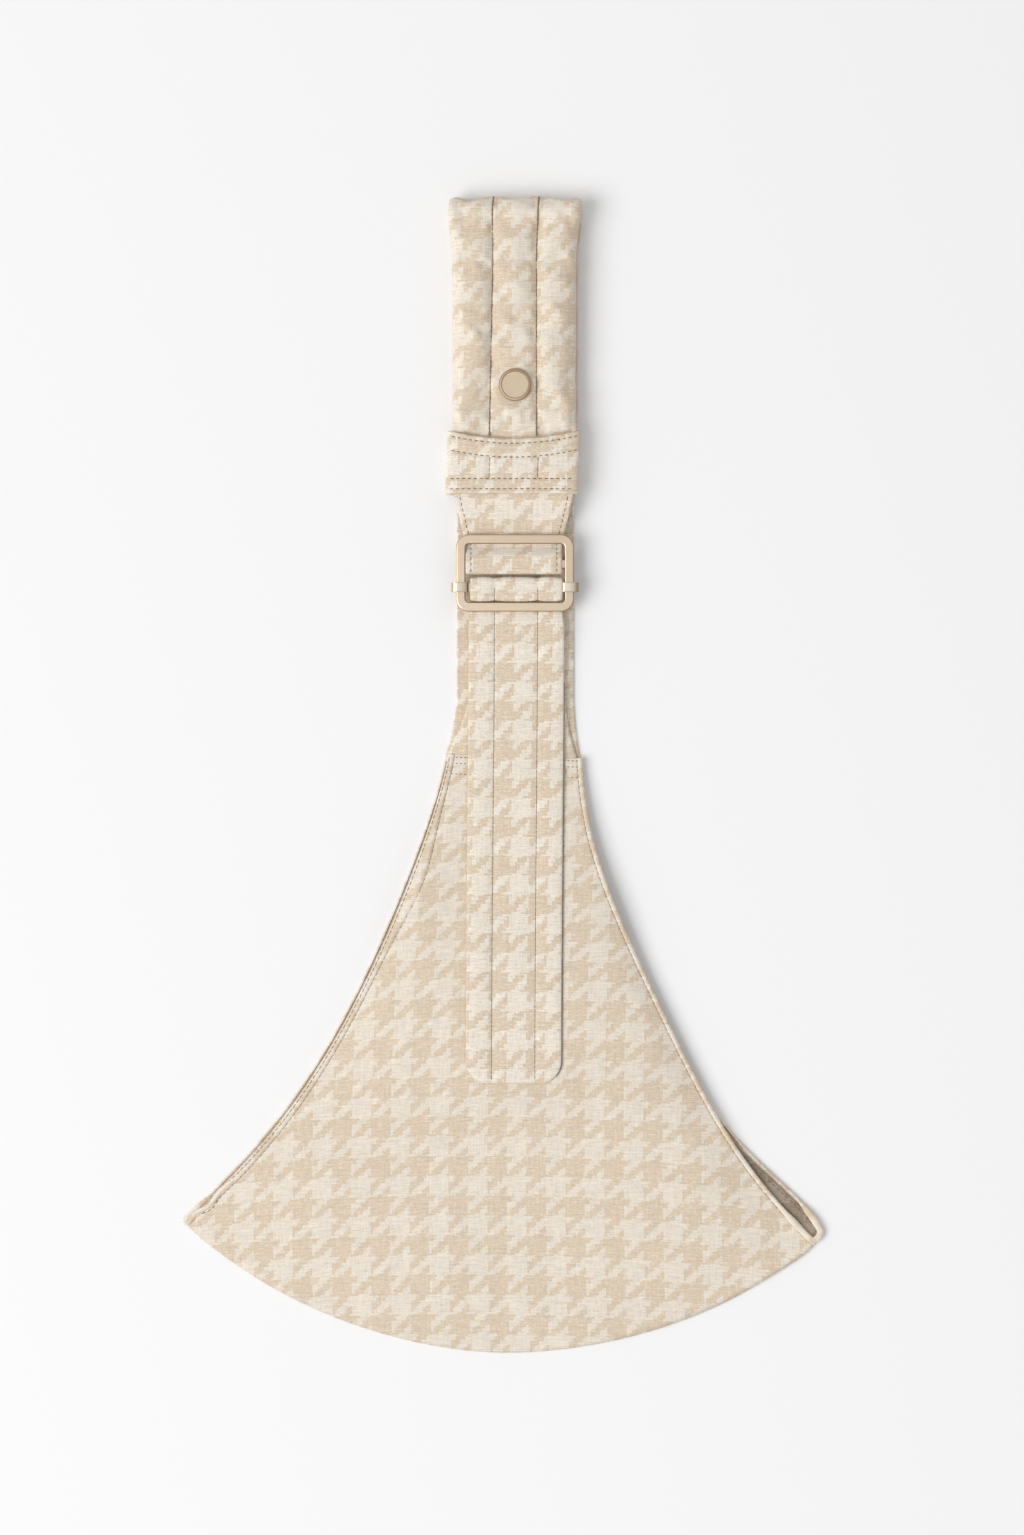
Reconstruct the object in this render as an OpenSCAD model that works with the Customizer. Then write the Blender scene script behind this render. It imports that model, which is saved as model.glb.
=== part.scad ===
// Baby sling of patterned cloth, laid flat on its back.
// One closed loop: seat pouch, adjuster strap, slide buckle, neck, folded shoulder pad, back strap.
// +Y runs up the strap from the seat to the shoulder fold, +Z is up off the surface.
// The origin is on that surface, on the strap's centre line, half way along the sling.

/* [Seat] */
// Half the distance between the two corners of the pouch
seat_half_span = 164.5; // [140:0.5:180]
// Half the width of the pouch at its top seam
seat_top_half = 35; // [32:0.5:40]
// Height of the top seam above the origin
seam_y = 9; // [4:1:12]
// Drop from the top seam to the line between the corners
seat_drop = 238.5; // [220:0.5:250]
// Depth of the curved bottom seam below the corners
seat_sag = 65.8; // [50:0.1:67]
// Angle by which the pouch lies turned under the strap
seat_turn = 1.8; // [0:0.1:2]
// Thickness of the seat cloth
panel_t = 1.2; // [1:0.1:1.4]
// How far the front panel stands up in the middle of the pouch
pouch_rise = 7.2; // [6:0.1:8]
// Width of the facing sewn inside each leg edge
facing_w = 8.4; // [7:0.1:10]
// Thickness of that facing
facing_t = 0.8; // [0.6:0.1:0.8]

/* [Straps] */
// Width of the adjuster strap
strap_w = 49.2; // [48:0.1:50]
// Thickness of the quilted adjuster strap
strap_t = 2.4; // [2.2:0.1:2.4]
// Where the free tail ends
tail_end_y = -157; // [-170:1:-120]
// Radius of the tail's two corners
tail_corner_r = 11; // [6:1:20]
// Width of the back strap
back_strap_w = 61.4; // [58:0.1:64]
// Thickness of the back strap
back_strap_t = 1.4; // [1.2:0.1:1.4]
// Length over which the straps flare out to the seat
flare_l = 30; // [25:1:40]

/* [Shoulder pad] */
// Width of the pad
pad_w = 63; // [60:0.5:64]
// Thickness of each run of the folded pad
pad_t = 8.2; // [8:0.1:9]
// Space between the two runs
pad_gap = 0.6; // [0.5:0.1:0.8]
// Outermost point of the fold
fold_y = 296; // [280:1:300]
// Distance of the two quilt lines from the middle
quilt_x = 11; // [10:0.5:12]
// How deep the quilt lines pull in
quilt_depth = 2.8; // [2:0.1:3.2]
// Thickness of the outer cloth
face_t = 1; // [0.8:0.1:1]
// Thickness of the lining
lining_t = 0.8; // [0.6:0.1:0.8]

/* [Cuffs and neck] */
// Width of the cuffs round the pad's ends
cuff_w = 68; // [67:0.5:70]
// Lower edge of the cuffs
cuff_low_y = 143.5; // [142:0.5:145]
// Upper edge of the cuffs at their sides
cuff_high_y = 175.7; // [174:0.1:176]
// How far the upper edge dips in the middle
cuff_dip = 4.1; // [2:0.1:5]
// Thickness of a cuff over its filling
cuff_t = 6; // [5.8:0.1:6]
// Thickness of the cuff's cloth
cuff_wall = 1.2; // [1:0.1:1.2]
// Width of the neck at the cuff
neck_top_w = 62.6; // [58:0.1:64]
// Width of the neck where it goes round the fixed bar
neck_low_w = 48.8; // [46:0.1:49]
// Thickness of one layer of the neck
neck_t = 1.2; // [1:0.1:1.2]

/* [Slide buckle] */
// Width of the frame
frame_w = 60.2; // [59.5:0.1:60.5]
// Length of the frame along the strap
frame_l = 39.4; // [39:0.1:39.6]
// Width of the frame's bars
rail_w = 4.8; // [4.6:0.1:4.9]
// Thickness of the frame's bars
rail_t = 2.8; // [2.6:0.1:2.8]
// Outer radius of the frame's corners
corner_r = 6.7; // [6:0.1:8]
// Radius along the edges of the bars
edge_r = 0.8; // [0.3:0.1:0.9]
// Height of the fixed bar's centre line up the sling
fixed_y = 107.9; // [107.7:0.1:108]
// Width of the fixed bar
fixed_w = 4.6; // [4:0.1:4.6]
// Thickness of the fixed bar
fixed_t = 1.8; // [1.4:0.1:1.8]
// From the fixed bar's centre to the frame's lower outer edge
frame_low = 24.3; // [24.1:0.1:24.4]
// Width of the slide bar's strip
slide_w = 4.8; // [4.4:0.1:4.8]
// Thickness of the slide bar's strip
slide_t = 1.2; // [1:0.1:1.2]
// From the fixed bar's centre to the slide bar's centre
slide_drop = 11.9; // [11.8:0.1:12]
// How far the slide bar's hooks reach past the middle
slide_reach = 32.5; // [32.3:0.1:33]
// How far each hook runs back under the rail
hook_lip = 2.4; // [1:0.1:3]

/* [Press stud] */
// Diameter of the cap
cap_d = 16.5; // [14:0.5:16.5]
// Height of the press stud's axis up the sling
cap_y = 198.8; // [195:0.1:210]
// Diameter of the socket and the stud
stud_d = 12; // [11:0.5:12.5]
// Diameter of the rivet through the pad
rivet_d = 4; // [3:0.1:4.4]
// Diameter of the stud's nub
nub_d = 4.6; // [4:0.1:5]

/* [Hidden] */
$fn = 96;

cloth = [0.87, 0.80, 0.70];
inner_cloth = [0.80, 0.74, 0.66];
foam = [0.95, 0.94, 0.90];
gold = [0.83, 0.72, 0.53];

rows = 16;              // rows of the seat from its top seam to its bottom seam
columns = 16;           // columns across the seat
narrow = seat_half_span - 1.5;                      // the pouch lies a little to the right of the strap
wide = seat_half_span + 1.5;
// Leg edges as [left, right]; the left ones are drawn mirrored
leg_edges_back = [
    [[seat_top_half, 0], [57, -80], [90, -175], [narrow, -seat_drop - 2.5]],
    [[seat_top_half, 0], [55.5, -79.5], [87.2, -174.8], [wide, -seat_drop + 1.5]]];
leg_edges_front = [
    [[seat_top_half, 0], [54.6, -80], [85, -177], [narrow - 1, -seat_drop - 1.5]],
    [[seat_top_half, 0], [56.5, -76.5], [92, -181], [narrow - 1, -seat_drop - 4]]];
slack = 0.1;            // room between layers that lie on each other
lay = 0.3;              // room between the tail and the curved panel beneath it

run_z = back_strap_t + slack + strap_t/2;           // the adjuster strap on the back strap
tail_z = run_z + strap_t + slack;                   // the tail on the adjuster strap
front_top_z = run_z - panel_t/2;                    // underside of the front panel at its top seam

frame_low_y = fixed_y - frame_low;
frame_high_y = frame_low_y + frame_l;
frame_mid_y = (frame_low_y + frame_high_y)/2;
frame_z = 9.4;                                      // middle of the frame's thickness
frame_under_z = frame_z - rail_t/2;
tail_under_z = frame_under_z - 2*slack - strap_t/2; // tail where it passes below the frame
run_under_z = tail_under_z - slack - strap_t;       // adjuster strap below that
slide_y = fixed_y - slide_drop;
wrap = slide_t/2 + 0.2 + strap_t/2;                 // strap's middle to the slide bar's middle
wrap_y = slide_y + slide_w/2 + wrap - 0.3;
descent_y = frame_low_y + rail_w + 0.3 + strap_t/2;
tight = strap_t/2 + 0.4;                            // tightest bend of the strap's middle
loop_w = 47.3;                                      // the strap is squeezed a little on the bar
join_y = frame_low_y - 1.5;                         // where the loop meets the run and the tail

fixed_wrap = fixed_t/2 + 0.2 + neck_t/2;
neck_turn_y = fixed_y - 4.7;
neck_front_z = frame_under_z - 2*slack - neck_t/2;
neck_back_z = neck_front_z - neck_t - slack;
neck_join_y = frame_high_y + 1.5;

pad_mid_z = pad_t + pad_gap/2;
turn_y = fold_y - pad_mid_z;
pad_end_y = 183;
tab_end_y = 161;
cuff_front_z = pad_mid_z + pad_gap/2;
face_tab_z = cuff_t/2 + 0.9;
lining_tab_z = cuff_t/2 - 0.9;

dish_depth = 1.5;       // how far the cap and the post sit down in the pad
dish_wall = 0.9;

// ---------------------------------------------------------------- shared shapes

function unit(v) = v/norm(v);
function lerp(a, b, s) = a + (b - a)*s;
function reverse(list) = [for (i = [len(list) - 1:-1:0]) list[i]];
function bezier(p, s) =
    pow(1 - s, 3)*p[0] + 3*s*pow(1 - s, 2)*p[1] + 3*s*s*(1 - s)*p[2] + pow(s, 3)*p[3];

// Points of an arc of radius r that rounds the corner b between a and c
function corner_arc(a, b, c, r, steps = 5) =
    let (u = unit(a - b), w = unit(c - b))
    let (half = acos(u*w)/2, centre = b + unit(u + w)*r/sin(half))
    let (start = b + u*r/tan(half) - centre)
    let (side = sign(cross(-u, w)), turn = 180 - 2*half)
    [for (i = [0:steps])
        let (angle = side*turn*i/steps)
        centre + [start.x*cos(angle) - start.y*sin(angle), start.x*sin(angle) + start.y*cos(angle)]];

function flat(p) = [p.x, p.y];
function distinct(p) = [for (i = [0:len(p) - 1]) if (i == 0 || norm(p[i] - p[i - 1]) > 0.001) p[i]];

// A bent line from corners given as [y, z, bend radius]; the two ends need no radius
function bent(p) = distinct(concat([flat(p[0])],
    [for (i = [1:len(p) - 2]) each corner_arc(flat(p[i - 1]), flat(p[i]), flat(p[i + 1]), p[i].z)],
    [flat(p[len(p) - 1])]));

function normal_at(p, i) =
    let (along = unit(p[min(i + 1, len(p) - 1)] - p[max(i - 1, 0)]))
    [-along.y, along.x];

// Cloth of thickness t and width w whose middle follows the line p in Y and Z
module strip(p, t, w) {
    near = [for (i = [0:len(p) - 1]) p[i] + normal_at(p, i)*t/2];
    far = [for (i = [0:len(p) - 1]) p[i] - normal_at(p, i)*t/2];
    translate([-w/2, 0, 0])
        rotate([90, 0, 90])
            linear_extrude(w)
                polygon(concat(near, reverse(far)));
}

// Plan of a strap that widens in a curve down to the turned top seam
module flared_plan(w, top_y) {
    steps = 8;
    side = [for (i = [0:steps])
        [w/2 + (seat_top_half - w/2)*pow(i/steps, 2), lerp(seam_y + flare_l, seam_y, i/steps)]];
    seam_shift = seat_top_half*tan(seat_turn);
    right = concat([[w/2, top_y]], side, [[seat_top_half, seam_y - seam_shift]]);
    left = concat([[-w/2, top_y]], [for (p = side) if (p.y > seam_y + seam_shift) [-p.x, p.y]],
        [[-seat_top_half, seam_y + seam_shift]]);
    linear_extrude(40, center = true)
        polygon(concat(right, reverse(left)));
}

// ---------------------------------------------------------------- seat pouch

// The pouch hangs from the middle of its top seam, turned a little under the strap
module on_seam() {
    translate([0, seam_y, 0])
        rotate([0, 0, -seat_turn])
            children();
}

// How much of the bottom curve a row has taken on, by the row's place s from top to bottom
function row_sag(s) = seat_sag*pow(s, 2.2);
// The bottom curve, blunt towards its corners: 1 in the middle, 0 at the leg edges
function bow(a) = (1 - a*a)*(1 + 0.3*pow(abs(a), 3) + 0.15*pow(a, 12) + 0.9*pow(a, 30));
// A point of row s, from the left leg edge at across -1 to the right one at 1
function row_point(edges, s, across) =
    let (e = bezier(edges[across < 0 ? 0 : 1], s))
    let (mid_y = (bezier(leg_edges_back[0], s).y + bezier(leg_edges_back[1], s).y)/2)
    [e.x*across, mid_y + (e.y - mid_y)*pow(across, 6) - row_sag(s)*bow(across)];
// Height of the front panel's underside at row s
function pouch_z(s) =
    lerp(front_top_z, panel_t, s) + pouch_rise*pow(sin(180*min(1, s/0.97)), 0.8);
// Where the facing's inner edge crosses row s
function inner_edge(edge, s) =
    let (along = unit(bezier(edge, s + 0.01) - bezier(edge, s - 0.01)))
    1 - facing_w/(bezier(edge, s).x*abs(along.y) + 3.3*row_sag(s)*along.x);

module seat_back_panel() {
    right = [for (i = [0:rows]) row_point(leg_edges_back, i/rows, 1)];
    bottom = [for (i = [columns - 1:-1:-columns + 1]) row_point(leg_edges_back, 1, i/columns)];
    left = [for (i = [rows:-1:0]) row_point(leg_edges_back, i/rows, -1)];
    color(cloth)
        on_seam()
            linear_extrude(panel_t)
                polygon(concat(right, bottom, left));
}

// side is -1 for the left leg edge and 1 for the right one
module back_facing(side) {
    steps = [2:rows - 1];
    edge = leg_edges_back[side < 0 ? 0 : 1];
    outer = [for (i = steps) row_point(leg_edges_back, i/rows, side)];
    inner = [for (i = steps) let (s = i/rows) row_point(leg_edges_back, s, side*inner_edge(edge, s))];
    color(inner_cloth)
        on_seam()
            translate([0, 0, panel_t])
                linear_extrude(facing_t)
                    polygon(concat(outer, reverse(inner)));
}

module back_left_facing() {
    back_facing(-1);
}

module back_right_facing() {
    back_facing(1);
}

// Curved cloth from row s0 to row s1. across gives its columns; 2 and -2 stand for the facings' inner edges
module pouch_cloth(s0, s1, steps, across, t, below) {
    n = len(across);
    points = [for (layer = [0, 1], i = [0:steps], k = [0:n - 1])
        let (s = lerp(s0, s1, i/steps))
        let (a = abs(across[k]) < 2 ? across[k]
            : sign(across[k])*inner_edge(leg_edges_front[across[k] < 0 ? 0 : 1], s))
        let (p = row_point(leg_edges_front, s, a))
        [p.x, p.y, pouch_z(s) - below + t*layer]];
    up = (steps + 1)*n;
    grid = [for (i = [0:steps - 1], k = [0:n - 2])
        [i*n + k, i*n + k + 1, (i + 1)*n + k + 1, (i + 1)*n + k]];
    rim = concat([for (k = [0:n - 1]) k], [for (i = [1:steps]) i*n + n - 1],
        [for (k = [n - 2:-1:0]) steps*n + k], [for (i = [steps - 1:-1:1]) i*n]);
    faces = concat([for (f = grid) each [[f[0], f[1], f[2]], [f[0], f[2], f[3]]]],
        [for (f = grid) each [[f[2] + up, f[1] + up, f[0] + up], [f[3] + up, f[2] + up, f[0] + up]]],
        [for (j = [0:len(rim) - 1])
            let (a = rim[j], b = rim[(j + 1) % len(rim)])
            each [[b, a, a + up], [b, a + up, b + up]]]);
    polyhedron(points, faces);
}

module seat_front_panel() {
    color(cloth)
        on_seam()
            pouch_cloth(0, 1, rows, [for (k = [-columns/2:columns/2]) 2*k/columns], panel_t, 0);
}

module front_facing(across) {
    color(inner_cloth)
        on_seam()
            pouch_cloth(1/rows, 14/rows, 13, across, facing_t, facing_t + slack);
}

module front_left_facing() {
    front_facing([-1, -2]);
}

module front_right_facing() {
    front_facing([2, 1]);
}

// ---------------------------------------------------------------- straps

module back_strap() {
    cuff_z = cuff_t/2;
    line = bent([[seam_y - 2, back_strap_t/2], [128, back_strap_t/2, 20], [140, cuff_z, 20], [154, cuff_z]]);
    color(cloth)
        intersection() {
            strip(line, back_strap_t, 100);
            flared_plan(back_strap_w, 160);
        }
}

// Lower layer of the strap, from the seat to the buckle
module adjuster_run() {
    line = bent([[seam_y - 2, run_z], [58, run_z, 40], [74, run_under_z, 30], [join_y, run_under_z]]);
    color(cloth)
        intersection() {
            strip(line, strap_t, 100);
            flared_plan(strap_w, 100);
        }
}

// The strap from the buckle's lower bar round the slide bar and back
module adjuster_loop() {
    line = bent([
        [join_y, run_under_z],
        [descent_y + 0.4, run_under_z, 3],
        [descent_y + 4.1, frame_z - wrap, 2.5],
        [wrap_y, frame_z - wrap, wrap],
        [wrap_y, frame_z + wrap, wrap],
        [descent_y, frame_z + wrap, tight],
        [descent_y, tail_under_z, tight],
        [join_y, tail_under_z]]);
    color(cloth)
        strip(line, strap_t, loop_w);
}

// Free end of the strap, lying down over the front panel
module adjuster_tail() {
    last_row = 11;
    on_panel = [for (i = [1:last_row])
        let (s = i/rows)
        [seam_y + row_point(leg_edges_front, s, 0).y, pouch_z(s) + panel_t + lay + strap_t/2]];
    line = concat(bent([[join_y, tail_under_z], [70, tail_under_z, 30], [56, tail_z, 30],
        [seam_y + 2, tail_z]]), on_panel);
    color(cloth)
        intersection() {
            strip(line, strap_t, strap_w);
            translate([0, 0, -1])
                linear_extrude(30)
                    tail_plan();
        }
}

module tail_plan() {
    half = strap_w/2;
    translate([-half, tail_end_y + tail_corner_r])
        square([strap_w, 260]);
    translate([-half + tail_corner_r, tail_end_y])
        square([strap_w - 2*tail_corner_r, 20]);
    for (side = [-1, 1])
        translate([side*(half - tail_corner_r), tail_end_y + tail_corner_r])
            circle(tail_corner_r);
}

// ---------------------------------------------------------------- neck and cuffs

neck_cuff_z = cuff_front_z + cuff_t/2;

module neck_plan() {
    top_y = cuff_low_y;
    low_y = frame_high_y - 4;
    half_top = neck_top_w/2;
    half_low = neck_low_w/2;
    side = [for (i = [0:6]) [half_top + (half_low - half_top)*sin(90*i/6), lerp(top_y, low_y, i/6)]];
    right = concat([[half_top, 160]], side, [[half_low, 100]]);
    linear_extrude(60, center = true)
        polygon(concat(right, reverse([for (p = right) [-p.x, p.y]])));
}

// The two layers of the neck, from the cuff down to the buckle's upper bar
module neck() {
    layers = [[neck_front_z, 0.65], [neck_back_z, -0.65]];
    color(cloth)
        intersection() {
            union() {
                for (layer = layers)
                    strip(bent([[157, neck_cuff_z + layer[1]], [141, neck_cuff_z + layer[1], 14],
                        [neck_join_y + 1, layer[0], 4], [neck_join_y, layer[0]]]), neck_t, 100);
            }
            neck_plan();
        }
}

// The neck from the upper bar forward over the fixed bar, round it and back
module neck_loop() {
    line = bent([
        [neck_join_y, neck_front_z],
        [fixed_y + 8.6, neck_front_z, 4],
        [fixed_y + 3.6, frame_z + fixed_wrap, 3],
        [neck_turn_y, frame_z + fixed_wrap, fixed_wrap],
        [neck_turn_y, frame_z - fixed_wrap, fixed_wrap],
        [fixed_y + 3.1, frame_z - fixed_wrap, 4],
        [fixed_y + 8.1, neck_back_z, 4],
        [neck_join_y, neck_back_z]]);
    color(cloth)
        intersection() {
            strip(line, neck_t, 100);
            neck_plan();
        }
}

// A flat sleeve: the pad's end goes in at the top and the strap's end at the bottom
module cuff() {
    length = cuff_high_y - cuff_low_y;
    dip_r = (pow(cuff_w/2, 2) + pow(cuff_dip, 2))/(2*cuff_dip);
    difference() {
        translate([-cuff_w/2, cuff_low_y, 0])
            cube([cuff_w, length, cuff_t]);
        translate([-cuff_w/2 + cuff_wall, cuff_low_y - 1, cuff_wall])
            cube([cuff_w - 2*cuff_wall, length + 2, cuff_t - 2*cuff_wall]);
        translate([0, cuff_high_y - cuff_dip + dip_r, -1])
            cylinder(h = cuff_t + 2, r = dip_r, $fn = 180);
    }
}

module front_cuff() {
    color(cloth)
        translate([0, 0, cuff_front_z])
            cuff();
}

module back_cuff() {
    color(cloth)
        cuff();
}

// ---------------------------------------------------------------- shoulder pad

// Height over the pad's middle plane of a channel's face, s from one side of it to the other
function crown(low, high, s) =
    let (base = lerp(low, high, s))
    base + (pad_mid_z - base)*(1 - pow(abs(2*s - 1), 3));
quilt_v = pad_mid_z - quilt_depth;
side_v = pad_gap/2 + lining_t + 0.6;
channels = [
    [-pad_w/2, -quilt_x, side_v, quilt_v],
    [-quilt_x, quilt_x, quilt_v, quilt_v],
    [quilt_x, pad_w/2, quilt_v, side_v]];
crown_steps = 8;

module channel_room(c, inset) {
    floor_v = pad_gap/2 + lining_t;
    left = c[0] + (c[0] < -quilt_x ? face_t : 0.5) + inset;
    right = c[1] - (c[1] > quilt_x ? face_t : 0.5) - inset;
    arch = [for (i = [0:crown_steps])
        let (s = i/crown_steps)
        [lerp(left, right, s), max(floor_v + 0.4, crown(c[2], c[3], s) - face_t) - inset]];
    polygon(concat([[left, floor_v]], arch, [[right, floor_v]]));
}

module pad_outline() {
    base_v = pad_gap/2 + lining_t;
    arch = [for (c = channels, i = [0:crown_steps])
        if (i > 0 || c[0] < -quilt_x)
            [lerp(c[0], c[1], i/crown_steps), crown(c[2], c[3], i/crown_steps)]];
    polygon(concat([[-pad_w/2, base_v]], arch, [[pad_w/2, base_v]]));
}

// Carries a cross-section up the front run, over the fold and down the back run
module folded() {
    length = turn_y - pad_end_y;
    translate([0, turn_y, pad_mid_z]) {
        for (flip = [0, 1])
            mirror([0, 0, flip])
                rotate([90, 0, 0])
                    linear_extrude(length)
                        children();
        rotate([90, 0, 90])
            rotate([0, 0, -90])
                rotate_extrude(angle = 180)
                    mirror([1, -1, 0])
                        children();
    }
}

// Flattened end of a cover inside its cuff, from the run's surface at start_z down to flat_z
module pad_tab(start_z, flat_z, t) {
    strip(bent([[pad_end_y, start_z], [pad_end_y - 4, lerp(start_z, flat_z, 0.35), 3],
        [pad_end_y - 8, flat_z, 4], [tab_end_y, flat_z]]), t, pad_w);
}

module snap_hole(d, low, high) {
    translate([0, cap_y, low])
        cylinder(h = high - low, d = d);
}

module dish(rim_z, floor_z) {
    low = min(rim_z, floor_z);
    high = max(rim_z, floor_z);
    translate([0, cap_y, low])
        cylinder(h = high - low, d = cap_d + 0.6 + 2*dish_wall);
}

module pad_face() {
    top = 2*pad_mid_z;
    color(cloth)
        difference() {
            union() {
                folded()
                    difference() {
                        pad_outline();
                        for (c = channels)
                            channel_room(c, 0);
                    }
                dish(top - face_t, top - dish_depth - dish_wall);
                dish(face_t, dish_depth + dish_wall);
                face_ends();
            }
            snap_hole(cap_d + 0.6, top - dish_depth, top + 1);
            snap_hole(cap_d + 0.6, -1, dish_depth);
            snap_hole(rivet_d + 0.4, -1, top + 1);
        }
}

module face_ends() {
    depth = quilt_depth + face_t/2;
    pad_tab(2*pad_mid_z - depth, cuff_front_z + face_tab_z, face_t);
    pad_tab(depth, cuff_t - face_tab_z, face_t);
}

module pad_lining() {
    depth = pad_gap/2 + lining_t/2;
    color(inner_cloth)
        difference() {
            union() {
                folded()
                    translate([-pad_w/2, pad_gap/2])
                        square([pad_w, lining_t]);
                pad_tab(pad_mid_z + depth, cuff_front_z + lining_tab_z, lining_t);
                pad_tab(pad_mid_z - depth, cuff_t - lining_tab_z, lining_t);
            }
            snap_hole(stud_d + 0.6, pad_mid_z - 3, pad_mid_z + 3);
        }
}

module foam_strip(k) {
    color(foam)
        folded()
            channel_room(channels[k], 0.1);
}

module foam_left() {
    foam_strip(0);
}

module foam_middle() {
    top = 2*pad_mid_z;
    difference() {
        foam_strip(1);
        color(foam) {
            snap_hole(cap_d + 0.8 + 2*dish_wall, top - dish_depth - dish_wall - 0.1, top);
            snap_hole(cap_d + 0.8 + 2*dish_wall, 0, dish_depth + dish_wall + 0.1);
            snap_hole(stud_d + 1, pad_mid_z - 3.2, pad_mid_z + 3.2);
            snap_hole(rivet_d + 1, 0, top);
        }
    }
}

module foam_right() {
    foam_strip(2);
}

// ---------------------------------------------------------------- slide buckle

module bar_section(w, t, r) {
    for (x = [-1, 1], y = [-1, 1])
        translate([x*(w/2 - r), y*(t/2 - r)])
            circle(r, $fn = 32);
    square([w - 2*r, t], center = true);
    square([w, t - 2*r], center = true);
}

// One side of the frame: a straight bar and the corner that follows it
module frame_side(length, half_across) {
    middle_r = corner_r - rail_w/2;
    translate([half_across - rail_w/2, -length/2, 0])
        rotate([-90, 0, 0])
            linear_extrude(length)
                bar_section(rail_w, rail_t, edge_r);
    translate([half_across - corner_r, length/2, 0])
        rotate_extrude(angle = 90)
            translate([middle_r, 0])
                bar_section(rail_w, rail_t, edge_r);
}

// Cast frame with the fixed bar that the neck is sewn round
module buckle_frame() {
    color(gold)
        translate([0, frame_mid_y, frame_z]) {
            for (turn = [0, 180]) {
                rotate([0, 0, turn])
                    frame_side(frame_l - 2*corner_r, frame_w/2);
                rotate([0, 0, turn + 90])
                    frame_side(frame_w - 2*corner_r, frame_l/2);
            }
            translate([-frame_w/2 + rail_w/2, fixed_y - frame_mid_y, 0])
                rotate([90, 0, 90])
                    linear_extrude(frame_w - rail_w)
                        bar_section(fixed_w, fixed_t, edge_r);
        }
}

// Pressed strip: low across the window, up over each rail, and hooked round its outside
module slide_bar() {
    over_z = rail_t/2 + 0.2 + slide_t/2;
    riser_x = frame_w/2 - rail_w - 0.25 - slide_t/2;
    curl_x = slide_reach - over_z - slide_t/2;
    half = bent([[0, 0], [riser_x, 0, 0.9], [riser_x, over_z, 0.9], [curl_x + over_z, over_z, over_z],
        [curl_x + over_z, -over_z, over_z], [curl_x - hook_lip, -over_z]]);
    line = distinct(concat([for (p = reverse(half)) [-p.x, p.y]], half));
    color(gold)
        translate([0, slide_y, frame_z])
            rotate([0, 0, -90])
                strip(line, slide_t, slide_w);
}

// ---------------------------------------------------------------- press stud

module on_snap_axis(z) {
    translate([0, cap_y, z])
        children();
}

// Cap with a raised rim and the rivet that holds the socket
module snap_cap() {
    low = 2*pad_mid_z - dish_depth;
    end_z = pad_mid_z + pad_gap/2 + 1.6;
    rim = cap_d/2;
    color(gold)
        on_snap_axis(0)
            rotate_extrude()
                polygon([[0, low], [0, end_z], [rivet_d/2 + 0.4, end_z], [rivet_d/2 + 0.4, end_z + 0.3],
                    [rivet_d/2, end_z + 0.5], [rivet_d/2, low], [rim - 0.5, low], [rim, low + 0.5],
                    [rim, low + 1.5], [rim - 0.4, low + 1.9], [rim - 1.2, low + 1.9],
                    [rim - 1.6, low + 1.5], [0, low + 1.5]]);
}

module snap_socket() {
    low = pad_mid_z + pad_gap/2;
    mouth = nub_d/2 + 0.1;
    color(gold)
        on_snap_axis(low)
            rotate_extrude()
                polygon([[mouth, 0], [stud_d/2 - 0.6, 0], [stud_d/2, 0.6], [stud_d/2, 2], [stud_d/2 - 0.4, 2.4],
                    [rivet_d/2 + 0.05, 2.4], [rivet_d/2 + 0.05, 2.1], [mouth + 0.3, 2.1], [mouth + 0.3, 0.8]]);
}

module snap_stud() {
    high = pad_mid_z - pad_gap/2;
    color(gold)
        on_snap_axis(high)
            rotate_extrude()
                polygon([[rivet_d/2 + 0.05, -2.4], [stud_d/2 - 0.4, -2.4], [stud_d/2, -2], [stud_d/2, -1.2],
                    [stud_d/2 - 1, -0.6], [nub_d/2 - 0.3, -0.6], [nub_d/2 - 0.3, 1.2], [nub_d/2, 1.6],
                    [nub_d/2 - 0.3, 1.9], [0, 1.9], [0, -0.2], [rivet_d/2 + 0.05, -0.2]]);
}

// Rivet and backing disc on the back run
module snap_post() {
    rim = cap_d/2;
    low = 0.3;
    color(gold)
        on_snap_axis(0)
            rotate_extrude()
                polygon([[0, low], [rim - 1, low], [rim, low + 0.6], [rim, dish_depth], [rivet_d/2, dish_depth],
                    [rivet_d/2, pad_mid_z - pad_gap/2 - 0.4], [0, pad_mid_z - pad_gap/2 - 0.4]]);
}

seat_back_panel();
seat_front_panel();
back_left_facing();
back_right_facing();
front_left_facing();
front_right_facing();
back_strap();
adjuster_run();
adjuster_loop();
adjuster_tail();
neck();
neck_loop();
front_cuff();
back_cuff();
pad_face();
pad_lining();
foam_left();
foam_middle();
foam_right();
buckle_frame();
slide_bar();
snap_cap();
snap_socket();
snap_stud();
snap_post();
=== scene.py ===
import functools
import math

import bmesh
import bpy
from mathutils import Matrix, Vector, noise


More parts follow.
